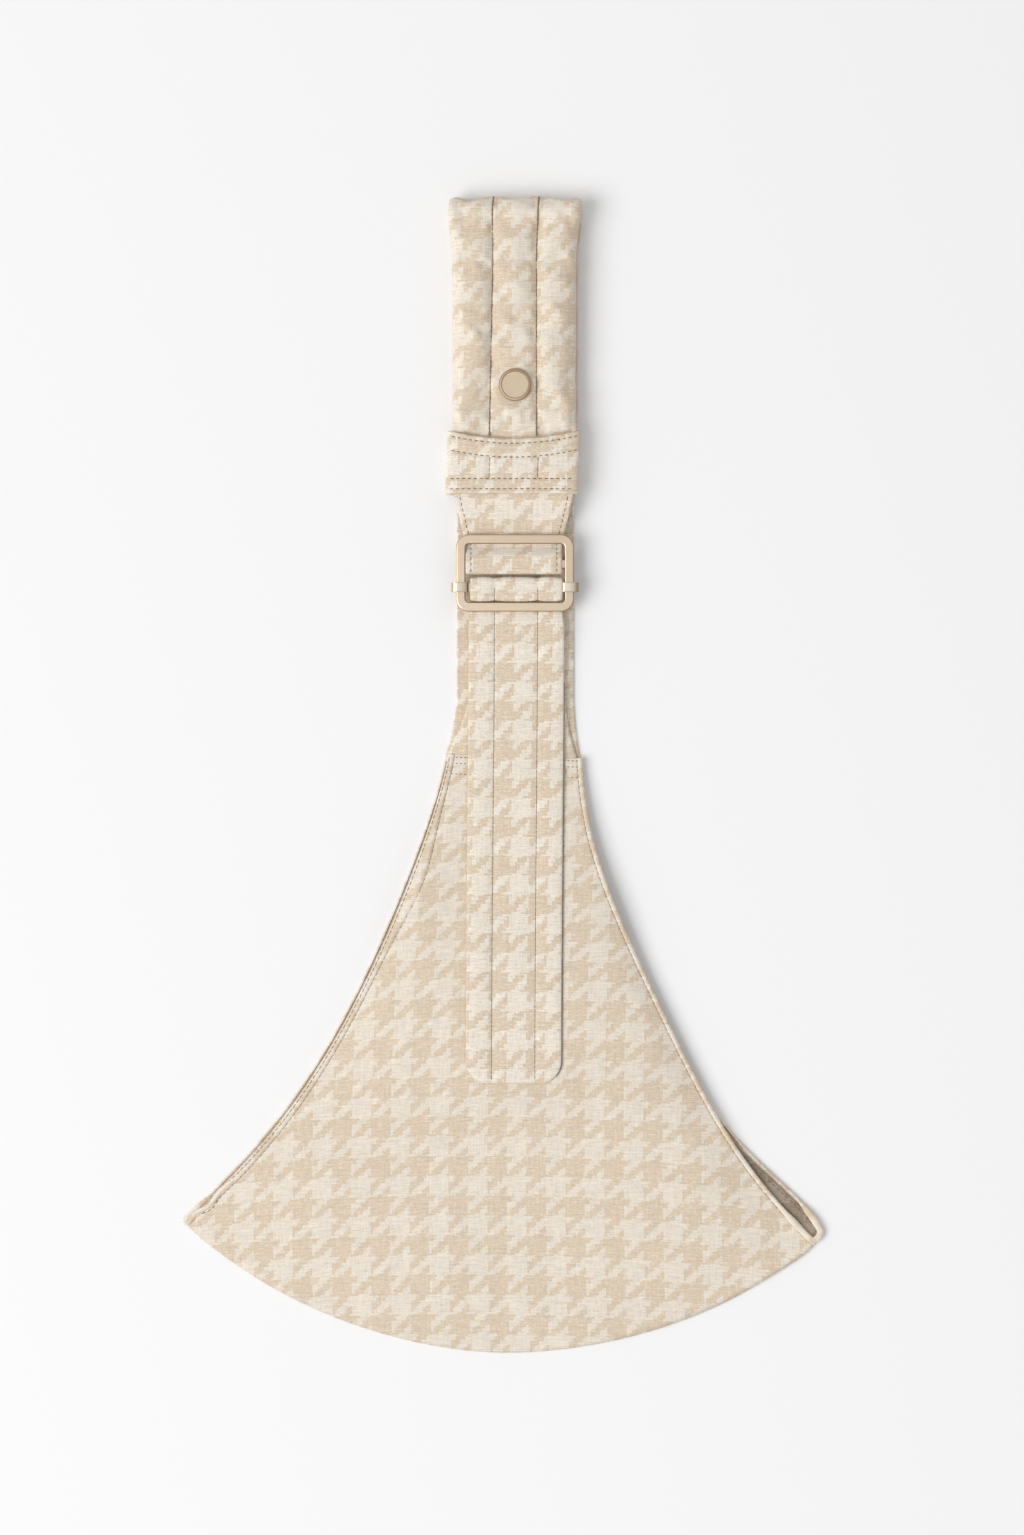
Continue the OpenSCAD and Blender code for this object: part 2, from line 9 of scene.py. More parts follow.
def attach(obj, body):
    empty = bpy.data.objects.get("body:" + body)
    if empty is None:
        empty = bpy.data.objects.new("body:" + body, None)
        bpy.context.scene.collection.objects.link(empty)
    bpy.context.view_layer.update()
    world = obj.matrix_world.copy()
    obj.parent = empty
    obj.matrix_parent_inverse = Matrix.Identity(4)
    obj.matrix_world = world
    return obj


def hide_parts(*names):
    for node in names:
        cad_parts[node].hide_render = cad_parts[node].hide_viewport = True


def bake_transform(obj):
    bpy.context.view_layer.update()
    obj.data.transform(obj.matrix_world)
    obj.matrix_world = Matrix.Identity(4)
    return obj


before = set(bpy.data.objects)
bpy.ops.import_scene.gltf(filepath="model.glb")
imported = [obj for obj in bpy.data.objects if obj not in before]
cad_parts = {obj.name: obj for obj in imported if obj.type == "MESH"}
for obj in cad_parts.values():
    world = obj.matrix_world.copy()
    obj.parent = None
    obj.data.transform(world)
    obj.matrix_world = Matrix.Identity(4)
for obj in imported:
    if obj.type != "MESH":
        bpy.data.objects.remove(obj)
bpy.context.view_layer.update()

# ---------------------------------------------------------------- Floor, light and camera
# The sling lies on a pale matt floor. One large soft lamp stands to the left and a little
# below, and an even glow comes from all round. The camera looks straight down.

scene = bpy.context.scene
scene.view_settings.view_transform = "Standard"

floor_material = bpy.data.materials.new("pale_floor")
floor_material.use_nodes = True
floor_shader = floor_material.node_tree.nodes["Principled BSDF"]
floor_shader.inputs["Base Color"].default_value = (0.925, 0.925, 0.930, 1)
floor_shader.inputs["Roughness"].default_value = 0.9
floor_shader.inputs["Specular IOR Level"].default_value = 0.1

floor_mesh = bpy.data.meshes.new("floor")
bm = bmesh.new()
bmesh.ops.create_grid(bm, x_segments=1, y_segments=1, size=12)
bmesh.ops.translate(bm, vec=(0, 0, -0.0002), verts=bm.verts)
bm.to_mesh(floor_mesh)
bm.free()
floor_mesh.materials.append(floor_material)
floor = bpy.data.objects.new("floor", floor_mesh)
scene.collection.objects.link(floor)

# Two worlds in one: a soft glow that lights the sling, and a white room that is seen and mirrored
studio = bpy.data.worlds.new("studio")
studio.use_nodes = True
scene.world = studio
sky = studio.node_tree
glow = sky.nodes["Background"]
glow.inputs["Color"].default_value = (1, 1, 1, 1)
glow.inputs["Strength"].default_value = 0.56
room = sky.nodes.new("ShaderNodeBackground")
room.inputs["Color"].default_value = (0.93, 0.93, 0.935, 1)
room.inputs["Strength"].default_value = 1.0
ray = sky.nodes.new("ShaderNodeLightPath")
seen = ray.outputs["Is Camera Ray"]
for kind in ("Is Glossy Ray", "Is Transmission Ray"):
    either_kind = sky.nodes.new("ShaderNodeMath")
    either_kind.operation = "MAXIMUM"
    sky.links.new(seen, either_kind.inputs[0])
    sky.links.new(ray.outputs[kind], either_kind.inputs[1])
    seen = either_kind.outputs[0]
either = sky.nodes.new("ShaderNodeMixShader")
sky.links.new(seen, either.inputs["Fac"])
sky.links.new(glow.outputs[0], either.inputs[1])
sky.links.new(room.outputs[0], either.inputs[2])
sky.links.new(either.outputs[0], sky.nodes["World Output"].inputs["Surface"])

lamp_data = bpy.data.lights.new("softbox", "AREA")
lamp_data.shape = "SQUARE"
lamp_data.size = 3.4
lamp_data.energy = 188
lamp = bpy.data.objects.new("softbox", lamp_data)
lamp.location = (-3.4, -1.2, 3.9)
lamp.rotation_euler = (-lamp.location).to_track_quat("-Z", "Y").to_euler()
scene.collection.objects.link(lamp)

camera_data = bpy.data.cameras.new("camera")
sensor_width = 36
camera_height = 2.2
cloth_height = 0.003
view_length = 0.786         # what the camera sees along the sling, at the height of the cloth
camera_data.sensor_width = sensor_width
camera_data.lens = sensor_width * (camera_height - cloth_height) / view_length
camera = bpy.data.objects.new("camera", camera_data)
camera.location = (-0.0015, 0.004, camera_height)
scene.collection.objects.link(camera)
scene.camera = camera

# ---------------------------------------------------------------- Seat, back panel
# The back half of the pouch: one bell-shaped cut of woven houndstooth cotton, which lies on the
# floor. Its leg edges are turned in and stitched down, and its curved bottom edge is seamed.

# Sizes are in millimetres until a piece is finished, as a pattern cutter would write them
seam_y = 9.0
seat_turn = math.radians(1.8)
seat_sag = 65.8
seam_scale = 262            # millimetres down the panel for each unit of s, close to the top seam
hem_w = 8.4
panel_thickness = 0.9
cream = (0.822, 0.746, 0.642)
beige = (0.715, 0.582, 0.440)
houndstooth_repeat = (19.8, 20.15)
# Leg edges, left and right: guide points of a smooth curve from the top seam to the corner
back_edges = (((35.3, 0), (43.3, -48), (70.5, -100.5), (80, -153.1), (121.2, -201.4), (162.5, -241)),
              ((32.6, 0), (44, -39.8), (19.6, -82.7), (139.1, -126.3), (34.1, -168.2),
               (155.3, -205.9), (165.5, -237)))


def lerp(a, b, s):
    return a + (b - a) * s


def smooth(s):
    """0 below 0, 1 above 1, and an even curve between."""
    s = min(1.0, max(0.0, s))
    return s * s * (3 - 2 * s)


def hump(x, middle, width):
    """1 at its middle, falling to 0 on both sides."""
    return math.exp(-((x - middle) / width) ** 2)


def curve_point(guides, s):
    """A point of the smooth curve that guide points span, s from 0 to 1."""
    while len(guides) > 1:
        guides = [a.lerp(b, s) for a, b in zip(guides, guides[1:])]
    return guides[0]


@functools.lru_cache(maxsize=None)
def leg_point(edge, s):
    """A point of a leg edge, s from 0 at the top seam to 1 at the corner."""
    return curve_point([Vector(p) for p in edge], s)


def row_sag(s):
    """How far row s hangs down in the middle of the panel."""
    return seat_sag * max(0.0, s) ** 2.2


def row_point(edges, s, across):
    """A point of row s of a seat panel, from the left leg edge at -1 to the right one at 1. The row
    is bowed downwards, and more steeply close to both edges."""
    edge = leg_point(edges[0 if across < 0 else 1], s)
    mid_y = (leg_point(back_edges[0], s).y + leg_point(back_edges[1], s).y) / 2
    a = abs(across)
    bow = (1 - a ** 2) * (1 + 0.3 * a ** 3 + 0.15 * a ** 12 + 0.9 * a ** 30)
    return Vector((edge.x * across, mid_y + (edge.y - mid_y) * across ** 6 - row_sag(s) * bow))


def leg_reach(edge, s):
    """How far in from the leg edge the middle of row s is, square to the edge."""
    steepness = 3.3         # how steeply a row is bowed near the hem
    along = (leg_point(edge, s + 0.01) - leg_point(edge, s - 0.01)).normalized()
    return leg_point(edge, s).x * abs(along.y) + steepness * row_sag(s) * along.x


def hem_across(edges, side, s, inward):
    """How far across row s a line lies that runs beside the leg edge, inward from it."""
    if side < 0 and edges is not back_edges:
        inward += 1.7 * hump(s, 0.955, 0.016)    # the left leg gapes at its corner
    return side * (1 - inward / leg_reach(edges[0] if side < 0 else edges[1], s))


def on_seam(p, z):
    """The pouch hangs from the middle of its top seam, turned a little under the strap."""
    c, s = math.cos(seat_turn), math.sin(seat_turn)
    return Vector((p.x * c + p.y * s, p.y * c - p.x * s + seam_y, z))


def cloth(columns, rows, place):
    """A woven grid. place(k, i) gives a crossing's point and its spot on the flat cloth."""
    bm = bmesh.new()
    bmesh.ops.create_grid(bm, x_segments=columns, y_segments=rows, size=1)
    flat = bm.loops.layers.uv.new("weave")
    spots = {}
    for v in bm.verts:
        k, i = round((v.co.x + 1) / 2 * columns), round((v.co.y + 1) / 2 * rows)
        v.co, spots[v] = place(k, i)
    for face in bm.faces:
        for corner in face.loops:
            corner[flat].uv = spots[corner.vert]
    return bm


def finished(name, bm, material, body="root", thickness=0.0, offset=0):
    """Makes a piece of a bmesh in millimetres: in metres, smooth, in its finish, on its body."""
    bmesh.ops.scale(bm, vec=(0.001, 0.001, 0.001), verts=bm.verts)
    mesh = bpy.data.meshes.new(name)
    bm.to_mesh(mesh)
    bm.free()
    mesh.polygons.foreach_set("use_smooth", [True] * len(mesh.polygons))
    mesh.materials.append(material)
    piece = bpy.data.objects.new(name, mesh)
    scene.collection.objects.link(piece)
    if thickness:
        shell = piece.modifiers.new("cloth_thickness", "SOLIDIFY")
        shell.thickness = thickness / 1000
        shell.offset = offset
    if body:
        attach(piece, body)
    return piece


def new_finish(name):
    """A new material with its nodes and its shader."""
    material = bpy.data.materials.new(name)
    material.use_nodes = True
    return material, material.node_tree, material.node_tree.nodes["Principled BSDF"]


def sums(tree, operation, *values):
    """One step of arithmetic in a material."""
    step = tree.nodes.new("ShaderNodeMath")
    step.operation = operation
    for socket, value in zip(step.inputs, values):
        if isinstance(value, (int, float)):
            socket.default_value = value
        else:
            tree.links.new(value, socket)
    return step.outputs[0]


def kept_within(tree, value, low, high):
    return sums(tree, "MINIMUM", sums(tree, "MAXIMUM", value, low), high)


def axes_of(tree, vector):
    split = tree.nodes.new("ShaderNodeSeparateXYZ")
    tree.links.new(vector, split.inputs[0])
    return split.outputs


def placed(tree, spot, scale=(1, 1, 1), shift=(0, 0, 0), turn=0.0):
    """The same spot on a grid that is scaled, turned and shifted."""
    grid = tree.nodes.new("ShaderNodeMapping")
    grid.inputs["Scale"].default_value = scale
    grid.inputs["Rotation"].default_value = (0, 0, turn)
    grid.inputs["Location"].default_value = shift
    tree.links.new(spot, grid.inputs["Vector"])
    return grid.outputs[0]


def blended(tree, share, first, second, how="MIX"):
    """A colour between two others, or with MULTIPLY the first shaded by the second."""
    mix = tree.nodes.new("ShaderNodeMix")
    mix.data_type = "RGBA"
    mix.blend_type = how
    for socket, value in ((mix.inputs[0], share), (mix.inputs[6], first), (mix.inputs[7], second)):
        if isinstance(value, tuple):
            socket.default_value = (*value, 1)
        elif isinstance(value, float):
            socket.default_value = value
        else:
            tree.links.new(value, socket)
    return mix.outputs[2]


def grain(tree, spot, scale, detail=2.0):
    """Soft noise over a surface, with its own scale along each axis."""
    texture = tree.nodes.new("ShaderNodeTexNoise")
    texture.inputs["Scale"].default_value = 1.0
    texture.inputs["Detail"].default_value = detail
    tree.links.new(placed(tree, spot, scale), texture.inputs["Vector"])
    return texture.outputs["Fac"]


def relief(tree, shader, height, strength, distance):
    """Relief that is too fine for the mesh; distance is in metres."""
    raised = tree.nodes.new("ShaderNodeBump")
    raised.inputs["Strength"].default_value = strength
    raised.inputs["Distance"].default_value = distance
    tree.links.new(height, raised.inputs["Height"])
    tree.links.new(raised.outputs[0], shader.inputs["Normal"])


def houndstooth(name, pitch, start, lean, twill, turned_over=False, light=cream, dark_yarns=beige):
    """Matt cotton whose warp and weft are striped cream and beige and cross in a broad twill.
    pitch is one repeat across and along, start where a repeat begins, lean the grain's angle."""
    material, tree, shader = new_finish(name)
    flat = tree.nodes.new("ShaderNodeUVMap")
    flat.uv_map = "weave"
    spot = flat.outputs[0]
    warp, weft, _ = axes_of(tree, placed(tree, spot, (1 / pitch[0], 1 / pitch[1], 1),
                                         (-start[0], -start[1], 0), -math.radians(lean)))
    warp_dark = sums(tree, "LESS_THAN", sums(tree, "FRACT", warp), 0.5)
    weft_dark = sums(tree, "LESS_THAN", sums(tree, "FRACT", weft), 0.5)
    # The twill line climbs in steps of one group of threads, in parts of a repeat
    warp_group, weft_group = 0.0625, 0.05
    stepped = sums(tree, "SUBTRACT", sums(tree, "SNAP", warp, warp_group),
                   sums(tree, "SNAP", weft, weft_group))
    # and every other pick reaches a little further, which gives the teeth their fringe
    fringe_reach = 0.09
    pair_of_picks = sums(tree, "FRACT", sums(tree, "MULTIPLY", weft, 0.5 / weft_group))
    fringe = sums(tree, "MULTIPLY_ADD", sums(tree, "LESS_THAN", pair_of_picks, 0.5),
                  fringe_reach, twill - fringe_reach / 2)
    phase = sums(tree, "FRACT", sums(tree, "MULTIPLY_ADD", stepped, 2.0, fringe))
    warp_over = sums(tree, "LESS_THAN", phase, 0.5)
    weft_over = sums(tree, "SUBTRACT", 1.0, warp_over)
    if turned_over:
        warp_over, weft_over = weft_over, warp_over
    dark = sums(tree, "ADD", sums(tree, "MULTIPLY", warp_dark, warp_over),
                sums(tree, "MULTIPLY", weft_dark, weft_over))
    # Each pick of yarn has its own tone, and flecks of the other colour show between the threads
    picks = grain(tree, spot, (0.12, 1.05, 1))
    ends = grain(tree, spot, (0.85, 0.10, 1))
    flecks = grain(tree, spot, (0.5, 1.25, 1), 3.0)
    handled = grain(tree, spot, (0.016, 0.016, 1))
    fleck_share = sums(tree, "MULTIPLY", sums(tree, "GREATER_THAN", flecks, 0.55), 0.46)
    dark_kept = sums(tree, "MULTIPLY", dark, sums(tree, "SUBTRACT", 1.0, fleck_share))
    light_flecked = sums(tree, "MULTIPLY", sums(tree, "SUBTRACT", 1.0, dark),
                         sums(tree, "MULTIPLY", fleck_share, 0.8))
    colour = blended(tree, sums(tree, "ADD", dark_kept, light_flecked), light, dark_yarns)
    tone = sums(tree, "ADD", sums(tree, "MULTIPLY_ADD", picks, 0.40, 0.80),
                sums(tree, "ADD", sums(tree, "MULTIPLY_ADD", ends, 0.24, -0.12),
                     sums(tree, "MULTIPLY_ADD", handled, 0.10, -0.05)))
    grey = tree.nodes.new("ShaderNodeCombineColor")
    for socket in grey.inputs:
        tree.links.new(tone, socket)
    tree.links.new(blended(tree, 1.0, colour, grey.outputs[0], "MULTIPLY"), shader.inputs["Base Color"])
    # Ribs of weft, notched where the warp binds them, with a little hairiness
    rib_pitch, bind_pitch = 1.0, 0.8
    across, along, _ = axes_of(tree, spot)
    rib = sums(tree, "SINE", sums(tree, "MULTIPLY", along, 2 * math.pi / rib_pitch))
    bind = sums(tree, "SINE", sums(tree, "MULTIPLY", across, 2 * math.pi / bind_pitch))
    hair = grain(tree, spot, (3.0, 3.0, 1), 4.0)
    height = sums(tree, "ADD", sums(tree, "MULTIPLY_ADD", rib, 0.3, 0.5),
                  sums(tree, "ADD", sums(tree, "MULTIPLY", bind, 0.12), sums(tree, "MULTIPLY", hair, 0.8)))
    relief(tree, shader, height, 0.75, 0.00018)
    tree.links.new(sums(tree, "MULTIPLY_ADD", hair, 0.15, 0.8), shader.inputs["Roughness"])
    shader.inputs["Specular IOR Level"].default_value = 0.2
    shader.inputs["Sheen Weight"].default_value = 0.12
    shader.inputs["Sheen Roughness"].default_value = 0.6
    shader.inputs["Sheen Tint"].default_value = (1.0, 0.96, 0.9, 1)
    return material


def seat_spot(p):
    """Where a point of the seat lies on the flat cloth, whose weft is bowed a little by the cut."""
    x, y = p.x / 100, (p.y + 170) / 100
    return (p.x + 1.10 * x * y + 0.09 * x * x - 2.11 * y * y,
            p.y + 170 - 0.27 * x * y + 3.33 * x * x + 0.81 * y * y)


def hem_columns(side, edges, roll_r, upward, field):
    """Columns of a seat panel from the middle of its field to under the turned leg edge:
    each is a function of the row giving how far across it lies and how far it is turned over."""
    field_end = hem_w + 1.2
    roll_start = 0.45
    made = []
    for a in field:
        made.append(lambda s, a=a: (side * a * abs(hem_across(edges, side, s, field_end)), 0.0))
    for inward in (field_end, 8.4, 7.7, 7.0, 6.3, 5.6, 5.0, 4.4, 3.8, 3.3, 2.9, 2.5, 2.1, 1.6,
                   roll_r + roll_start):
        made.append(lambda s, d=inward: (hem_across(edges, side, s, d), 0.0))
    for angle in (45, 90, 135, 180):
        turn = math.radians(angle)
        inward = roll_start + roll_r * (1 - math.sin(turn))
        dz = upward * roll_r * (1 - math.cos(turn))
        made.append(lambda s, d=inward, dz=dz: (hem_across(edges, side, s, d), dz))
    return made


field_columns = [k / 40 for k in range(40)]
seat_rows = 120


def panel(name, edges, roll_r, upward, surface, material, top_rows=()):
    """A seat panel with both leg edges turned over. surface(s, across) gives its height."""
    right = hem_columns(1, edges, roll_r, upward, field_columns)
    left = hem_columns(-1, edges, roll_r, upward, field_columns[1:])
    across = left[::-1] + right
    rows = [(0.0, y, dz) for y, dz in top_rows]
    rows += [(i / seat_rows, 0.0, 0.0) for i in range(seat_rows + 1)]

    def place(k, i):
        s, lift_y, turn_z = rows[i]
        a, dz = across[k](s)
        p = row_point(edges, s, a)
        p = on_seam(Vector((p.x, p.y + lift_y)), surface(s, a) + dz + turn_z)
        return p, seat_spot(p)

    bm = cloth(len(across) - 1, len(rows) - 1, place)
    return finished(name, bm, material, thickness=panel_thickness)


def back_height(s, a):
    """Height of the middle of the back panel's cloth, which lies almost flat."""
    ripple = noise.noise(Vector((a * 3.1, s * 5.0, 7.7)))
    seam_lift = 0.35 * smooth((s - 0.985) / 0.015)
    return 0.6 + 0.12 * (ripple + 0.5) * (1 - abs(a) ** 8) + seam_lift


back_cloth = houndstooth("back_panel_cloth", houndstooth_repeat, (0.30, 0.28), -0.87, 0.6)
seat_back = panel("seat_back_panel_cloth", back_edges, 0.5, 1, back_height, back_cloth)
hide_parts("seat_back_panel")

# ---------------------------------------------------------------- Leg facings
# A band of cloth inside each leg edge, one to a panel: the part of the panel's cut that is
# turned in. The hem stitching holds it to its panel.

front_edges = (((34.2, 0), (41.9, -48), (65.5, -101.1), (83.1, -154.2), (115.9, -202.2), (160.8, -240)),
               ((34.4, 0), (37.9, -38.3), (43, -82.1), (96.4, -128), (88.5, -172.4), (129.5, -211.8),
                (162, -242.5)))
facing_gap = 1.0            # from the middle of a panel's cloth to the middle of its facing


def pouch_rise(s):
    """How high the front panel stands in the middle of row s."""
    return 7.2 * math.sin(math.pi * min(1.0, max(0.0, s) / 0.97)) ** 0.8


def pouch_z(s):
    """Height of the front panel's underside at row s."""
    return lerp(2.1, 1.2, max(0.0, s)) + pouch_rise(s)


def front_height(s, a):
    """Height of the middle of the front panel's cloth: highest in the middle, with a soft ripple."""
    s = max(0.0, s)
    half_row = leg_point(front_edges[1], s).x
    x = a * half_row
    ripple = noise.noise(Vector((a * 2.6 + 3.0, s * 4.2, 1.3))) * 0.35
    ripple += noise.noise(Vector((a * 7.0, s * 9.0, 5.1))) * 0.3
    # One soft ridge left of the strap; right of the strap the cloth climbs a little
    ripple += 1.2 * hump(x, -48, 11) * hump(s, 0.25, 0.10) + 1.5 * smooth((x - 26) / 60)
    # It lies still at its seams and under the strap's tail
    free = smooth((1 - abs(a)) * 6) * smooth(s * 6) * smooth((1 - s) * 8)
    free *= max(smooth((abs(a) * half_row - 22) / 14), smooth((s - 0.68) / 0.1))
    overlap = 0.7 * (1 - smooth(s / 0.03))
    droop = 0.22 + 0.42 * smooth((s - 0.25) / 0.2)
    return pouch_z(s) + 0.6 - droop * pouch_rise(s) * abs(a) ** 5 + ripple * free + overlap


def facing(node, edges, side, s_to, height, material):
    """A facing from just inside the turned edge to its own inner edge."""
    columns, rows = 9, 96

    def place(k, i):
        s = lerp(0.02, s_to, i / rows)
        begins = 2.0 if side > 0 else lerp(2.6, 0.8, smooth((s - 0.92) / 0.03))
        a = hem_across(edges, side, s, lerp(begins, hem_w, k / columns))
        p = row_point(edges, s, a)
        return on_seam(p, height(s, a)), (p.x, p.y + 7.0)

    piece = finished(node + "_cloth", cloth(columns, rows, place), material, thickness=0.7)
    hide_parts(node)
    return piece


# The facings' colours are painted shade: a deep taupe in the right leg, for the shade under the raised
# front panel, and only a little darker than the face in the left leg, which faces the lamp
legs = (("left", -1, houndstooth("left_facing_painted_shade", houndstooth_repeat, (0.1, 0.6), 1.2, 0.6,
                                 light=(0.66, 0.56, 0.46), dark_yarns=(0.56, 0.45, 0.34))),
        ("right", 1, houndstooth("facing_cloth", houndstooth_repeat, (0.1, 0.6), 1.2, 0.6,
                                 light=(0.385, 0.312, 0.240), dark_yarns=(0.300, 0.230, 0.165))))
back_facings = [facing(f"back_{leg}_facing", back_edges, side, 0.985,
                       lambda s, a: back_height(s, a) + facing_gap, material)
                for leg, side, material in legs]
front_facings = [facing(f"front_{leg}_facing", front_edges, side, 0.94,
                        lambda s, a: front_height(s, a) - facing_gap, material)
                 for leg, side, material in legs]

# ---------------------------------------------------------------- Seat, front panel
# The front half of the pouch. It stands up a little in the middle, so that the pouch is open at
# both legs, and its top edge is turned under and double-stitched over the foot of the strap.


def hem_row(side, s):
    """How far the hem stitching lies from the leg edge: the left hem is dragged wider for a while."""
    return 2.5 if side > 0 else 3.3 + 3.7 * hump(s, 0.26, 0.1)


def hem_relief(side, s, inward):
    """How much the turned hem stands up over the field, pulled in along its stitching."""
    row = hem_row(side, s)
    slope = inward if side > 0 else row - inward
    roll = 0.75 * smooth((row - inward) / 0.8) * (1 - 0.3 * smooth(slope / max(row, 3.0)))
    return roll - 0.35 * hump(inward, row, 0.55)


def front_surface(s, a):
    """Height of the front panel with its hems, puckered beside them and drawn in at its top seam."""
    side = -1 if a < 0 else 1
    inward = max(0.0, (1 - abs(a)) * leg_reach(front_edges[0 if side < 0 else 1], s))
    pucker = noise.noise(Vector((s * 42, side * 3.0, 9.0))) * 0.45 * hump(inward, 6, 5)
    top = 0.22 * hump(s * seam_scale, 3.0, 0.8)
    return front_height(s, a) + hem_relief(side, s, inward) + pucker - top


front_cloth = houndstooth("front_panel_cloth", (19.81, 20.15), (0.305, 0.28), -0.87, 0.596)
seat_front = panel("seat_front_panel_cloth", front_edges, 0.55, -1, front_surface, front_cloth,
                   top_rows=((0.2, -0.9), (0.5, -0.55), (0.55, -0.1)))
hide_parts("seat_front_panel")

# ---------------------------------------------------------------- Hems and seams
# Taupe sewing thread in lockstitch: one row along every leg edge, one more on the edge of the
# front's left leg, and three across the top seam. The hem is rolled round each bottom corner.


def thread_material(name, colour):
    material, tree, shader = new_finish(name)
    place = tree.nodes.new("ShaderNodeTexCoord")
    twist = tree.nodes.new("ShaderNodeTexWave")
    twist.bands_direction = "DIAGONAL"
    twist.inputs["Scale"].default_value = 2600
    twist.inputs["Distortion"].default_value = 1.5
    tree.links.new(place.outputs["Object"], twist.inputs["Vector"])
    darker = tuple(0.72 * c for c in colour)
    tree.links.new(blended(tree, twist.outputs["Fac"], darker, colour), shader.inputs["Base Color"])
    relief(tree, shader, twist.outputs["Fac"], 0.4, 0.00008)
    shader.inputs["Roughness"].default_value = 0.55
    shader.inputs["Sheen Weight"].default_value = 0.1
    return material


thread = thread_material("taupe_thread", (0.235, 0.165, 0.115))


def along_line(points, pitch, start):
    """Points and directions every pitch along a line."""
    out, travelled, target = [], 0.0, start
    for a, b in zip(points, points[1:]):
        length = (b - a).length
        while target <= travelled + length and length > 0:
            out.append((a.lerp(b, (target - travelled) / length), (b - a).normalized()))
            target += pitch
        travelled += length
    return out


def sew(bm, points, pitch=3.0, stitch=1.5, width=0.42, up=Vector((0, 0, 1))):
    """Lockstitches along a line of points that lie on the cloth, each dipping in at both ends."""
    for centre, along in along_line(points, pitch, pitch / 2):
        side = up.cross(along).normalized()
        over = along.cross(side)
        turn = Matrix((along * stitch / 2, side * width / 2, over * width / 2)).transposed().to_4x4()
        bmesh.ops.create_icosphere(bm, subdivisions=1, radius=1,
                                   matrix=Matrix.Translation(centre) @ turn)


def stitching(name, *rows, body="root"):
    """The thread of one piece: each row is a line of points and how it is sewn."""
    bm = bmesh.new()
    for line, how in rows:
        sew(bm, line, **how)
    return finished(name, bm, thread, body=body)


def heading(line, i):
    """The direction of a line at its point i."""
    return (line[min(i + 1, len(line) - 1)] - line[max(i - 1, 0)]).normalized()


def closed(bm):
    """Merges the doubled points of a tube, closes its ends and turns its faces outwards."""
    bmesh.ops.remove_doubles(bm, verts=bm.verts, dist=0.0005)
    bmesh.ops.holes_fill(bm, edges=[e for e in bm.edges if e.is_boundary], sides=0)
    bmesh.ops.recalc_face_normals(bm, faces=bm.faces)
    return bm


def corner_roll(name, side, leaves, arrives, from_s, thick, rim):
    """The rolled hem that turns round a bottom corner, from the back panel on to the front one.
    leaves and arrives say how far it swings out past the end of each panel's edge."""
    steps, ring, corner_s = 12, 14, 0.985

    def beside(edges, s, inward, height):
        a = hem_across(edges, side, s, inward)
        p = row_point(edges, s, a)
        return Vector((p.x, p.y, height(s, a)))

    out_of = [beside(back_edges, lerp(from_s, corner_s, i / steps), lerp(0.7, rim, smooth(i / 9)),
                     lambda s, a: lerp(1.0, 2.1, smooth(i / 9))) for i in range(steps + 1)]
    into = [beside(front_edges, lerp(corner_s, 0.86, i / steps), 1.3,
                   lambda s, a: front_surface(s, a) + 0.1) for i in range(steps + 1)]
    guides = [out_of[-1], out_of[-1] + Vector((*leaves, 0)), into[0] + Vector((*arrives, 0)), into[0]]
    line = out_of + [curve_point(guides, i / steps) for i in range(1, steps)] + into
    ends = len(line) - 1

    def place(k, i):
        out = Vector((0, 0, 1)).cross(heading(line, i)).normalized()
        size = 0.2 + 0.8 * smooth(i / 8) * smooth((ends - i) / 8)
        size *= 1 + 0.14 * noise.noise(Vector((i * 0.45, side * 4.0, 2.0)))
        turn = 2 * math.pi * (k % ring) / ring
        p = line[i] + out * (thick * size * math.cos(turn))
        z = line[i].z + 1.15 * size * math.sin(turn)
        return on_seam(p, z), (i * 1.3 + 60, 3.2 * k / ring)

    return finished(name, closed(cloth(ring, ends, place)), front_cloth)


corner_rolls = [corner_roll("left_corner_hem_cloth", -1, (-4.4, -5.4), (-4.4, -8.0), 0.92, 1.15, 0.7),
                corner_roll("right_corner_hem_cloth", 1, (2.7, -3.4), (2.6, -3.4), 0.90, 1.7, 1.5)]


def hem_line(edges, side, inward, s_from, s_to, height):
    """A line that runs inward(s) from a leg edge and lies on the cloth."""
    line, steps = [], 140
    for i in range(steps + 1):
        s = lerp(s_from, s_to, i / steps)
        a = hem_across(edges, side, s, inward(s))
        line.append(on_seam(row_point(edges, s, a), height(s, a)))
    return line


def front_outside(s, a):
    return front_surface(s, a) + 0.5


def back_outside(s, a):
    return back_height(s, a) + facing_gap + 0.4


front_hem = stitching(
    "front_hem_stitches",
    *((hem_line(front_edges, side, lambda s: hem_row(side, s), 0.004, 0.975, front_outside),
       {"stitch": 2.5, "width": 0.52}) for side in (-1, 1)),
    (hem_line(front_edges, -1, lambda s: 0.9, 0.004, 0.95, front_outside), {"stitch": 2.8}))
back_hem = stitching(
    "back_hem_stitches",
    *((hem_line(back_edges, side, lambda s: 3.4, 0.03, 0.97, back_outside), {"stitch": 2.2})
      for side in (-1, 1)))
top_seam = stitching(
    "top_seam_stitches",
    *(([on_seam(Vector((x, -below)), front_outside(below / seam_scale, x / 36)) for x in range(-33, 34)],
       {"pitch": 2.2, "width": 0.45}) for below in (0.7, 3.8, 9.3)))

# ---------------------------------------------------------------- Straps
# Two straps leave the pouch. The back strap is a flat double layer. The adjuster strap is a
# quilted tube in three channels: it runs up to the buckle, round the slide bar and back down.


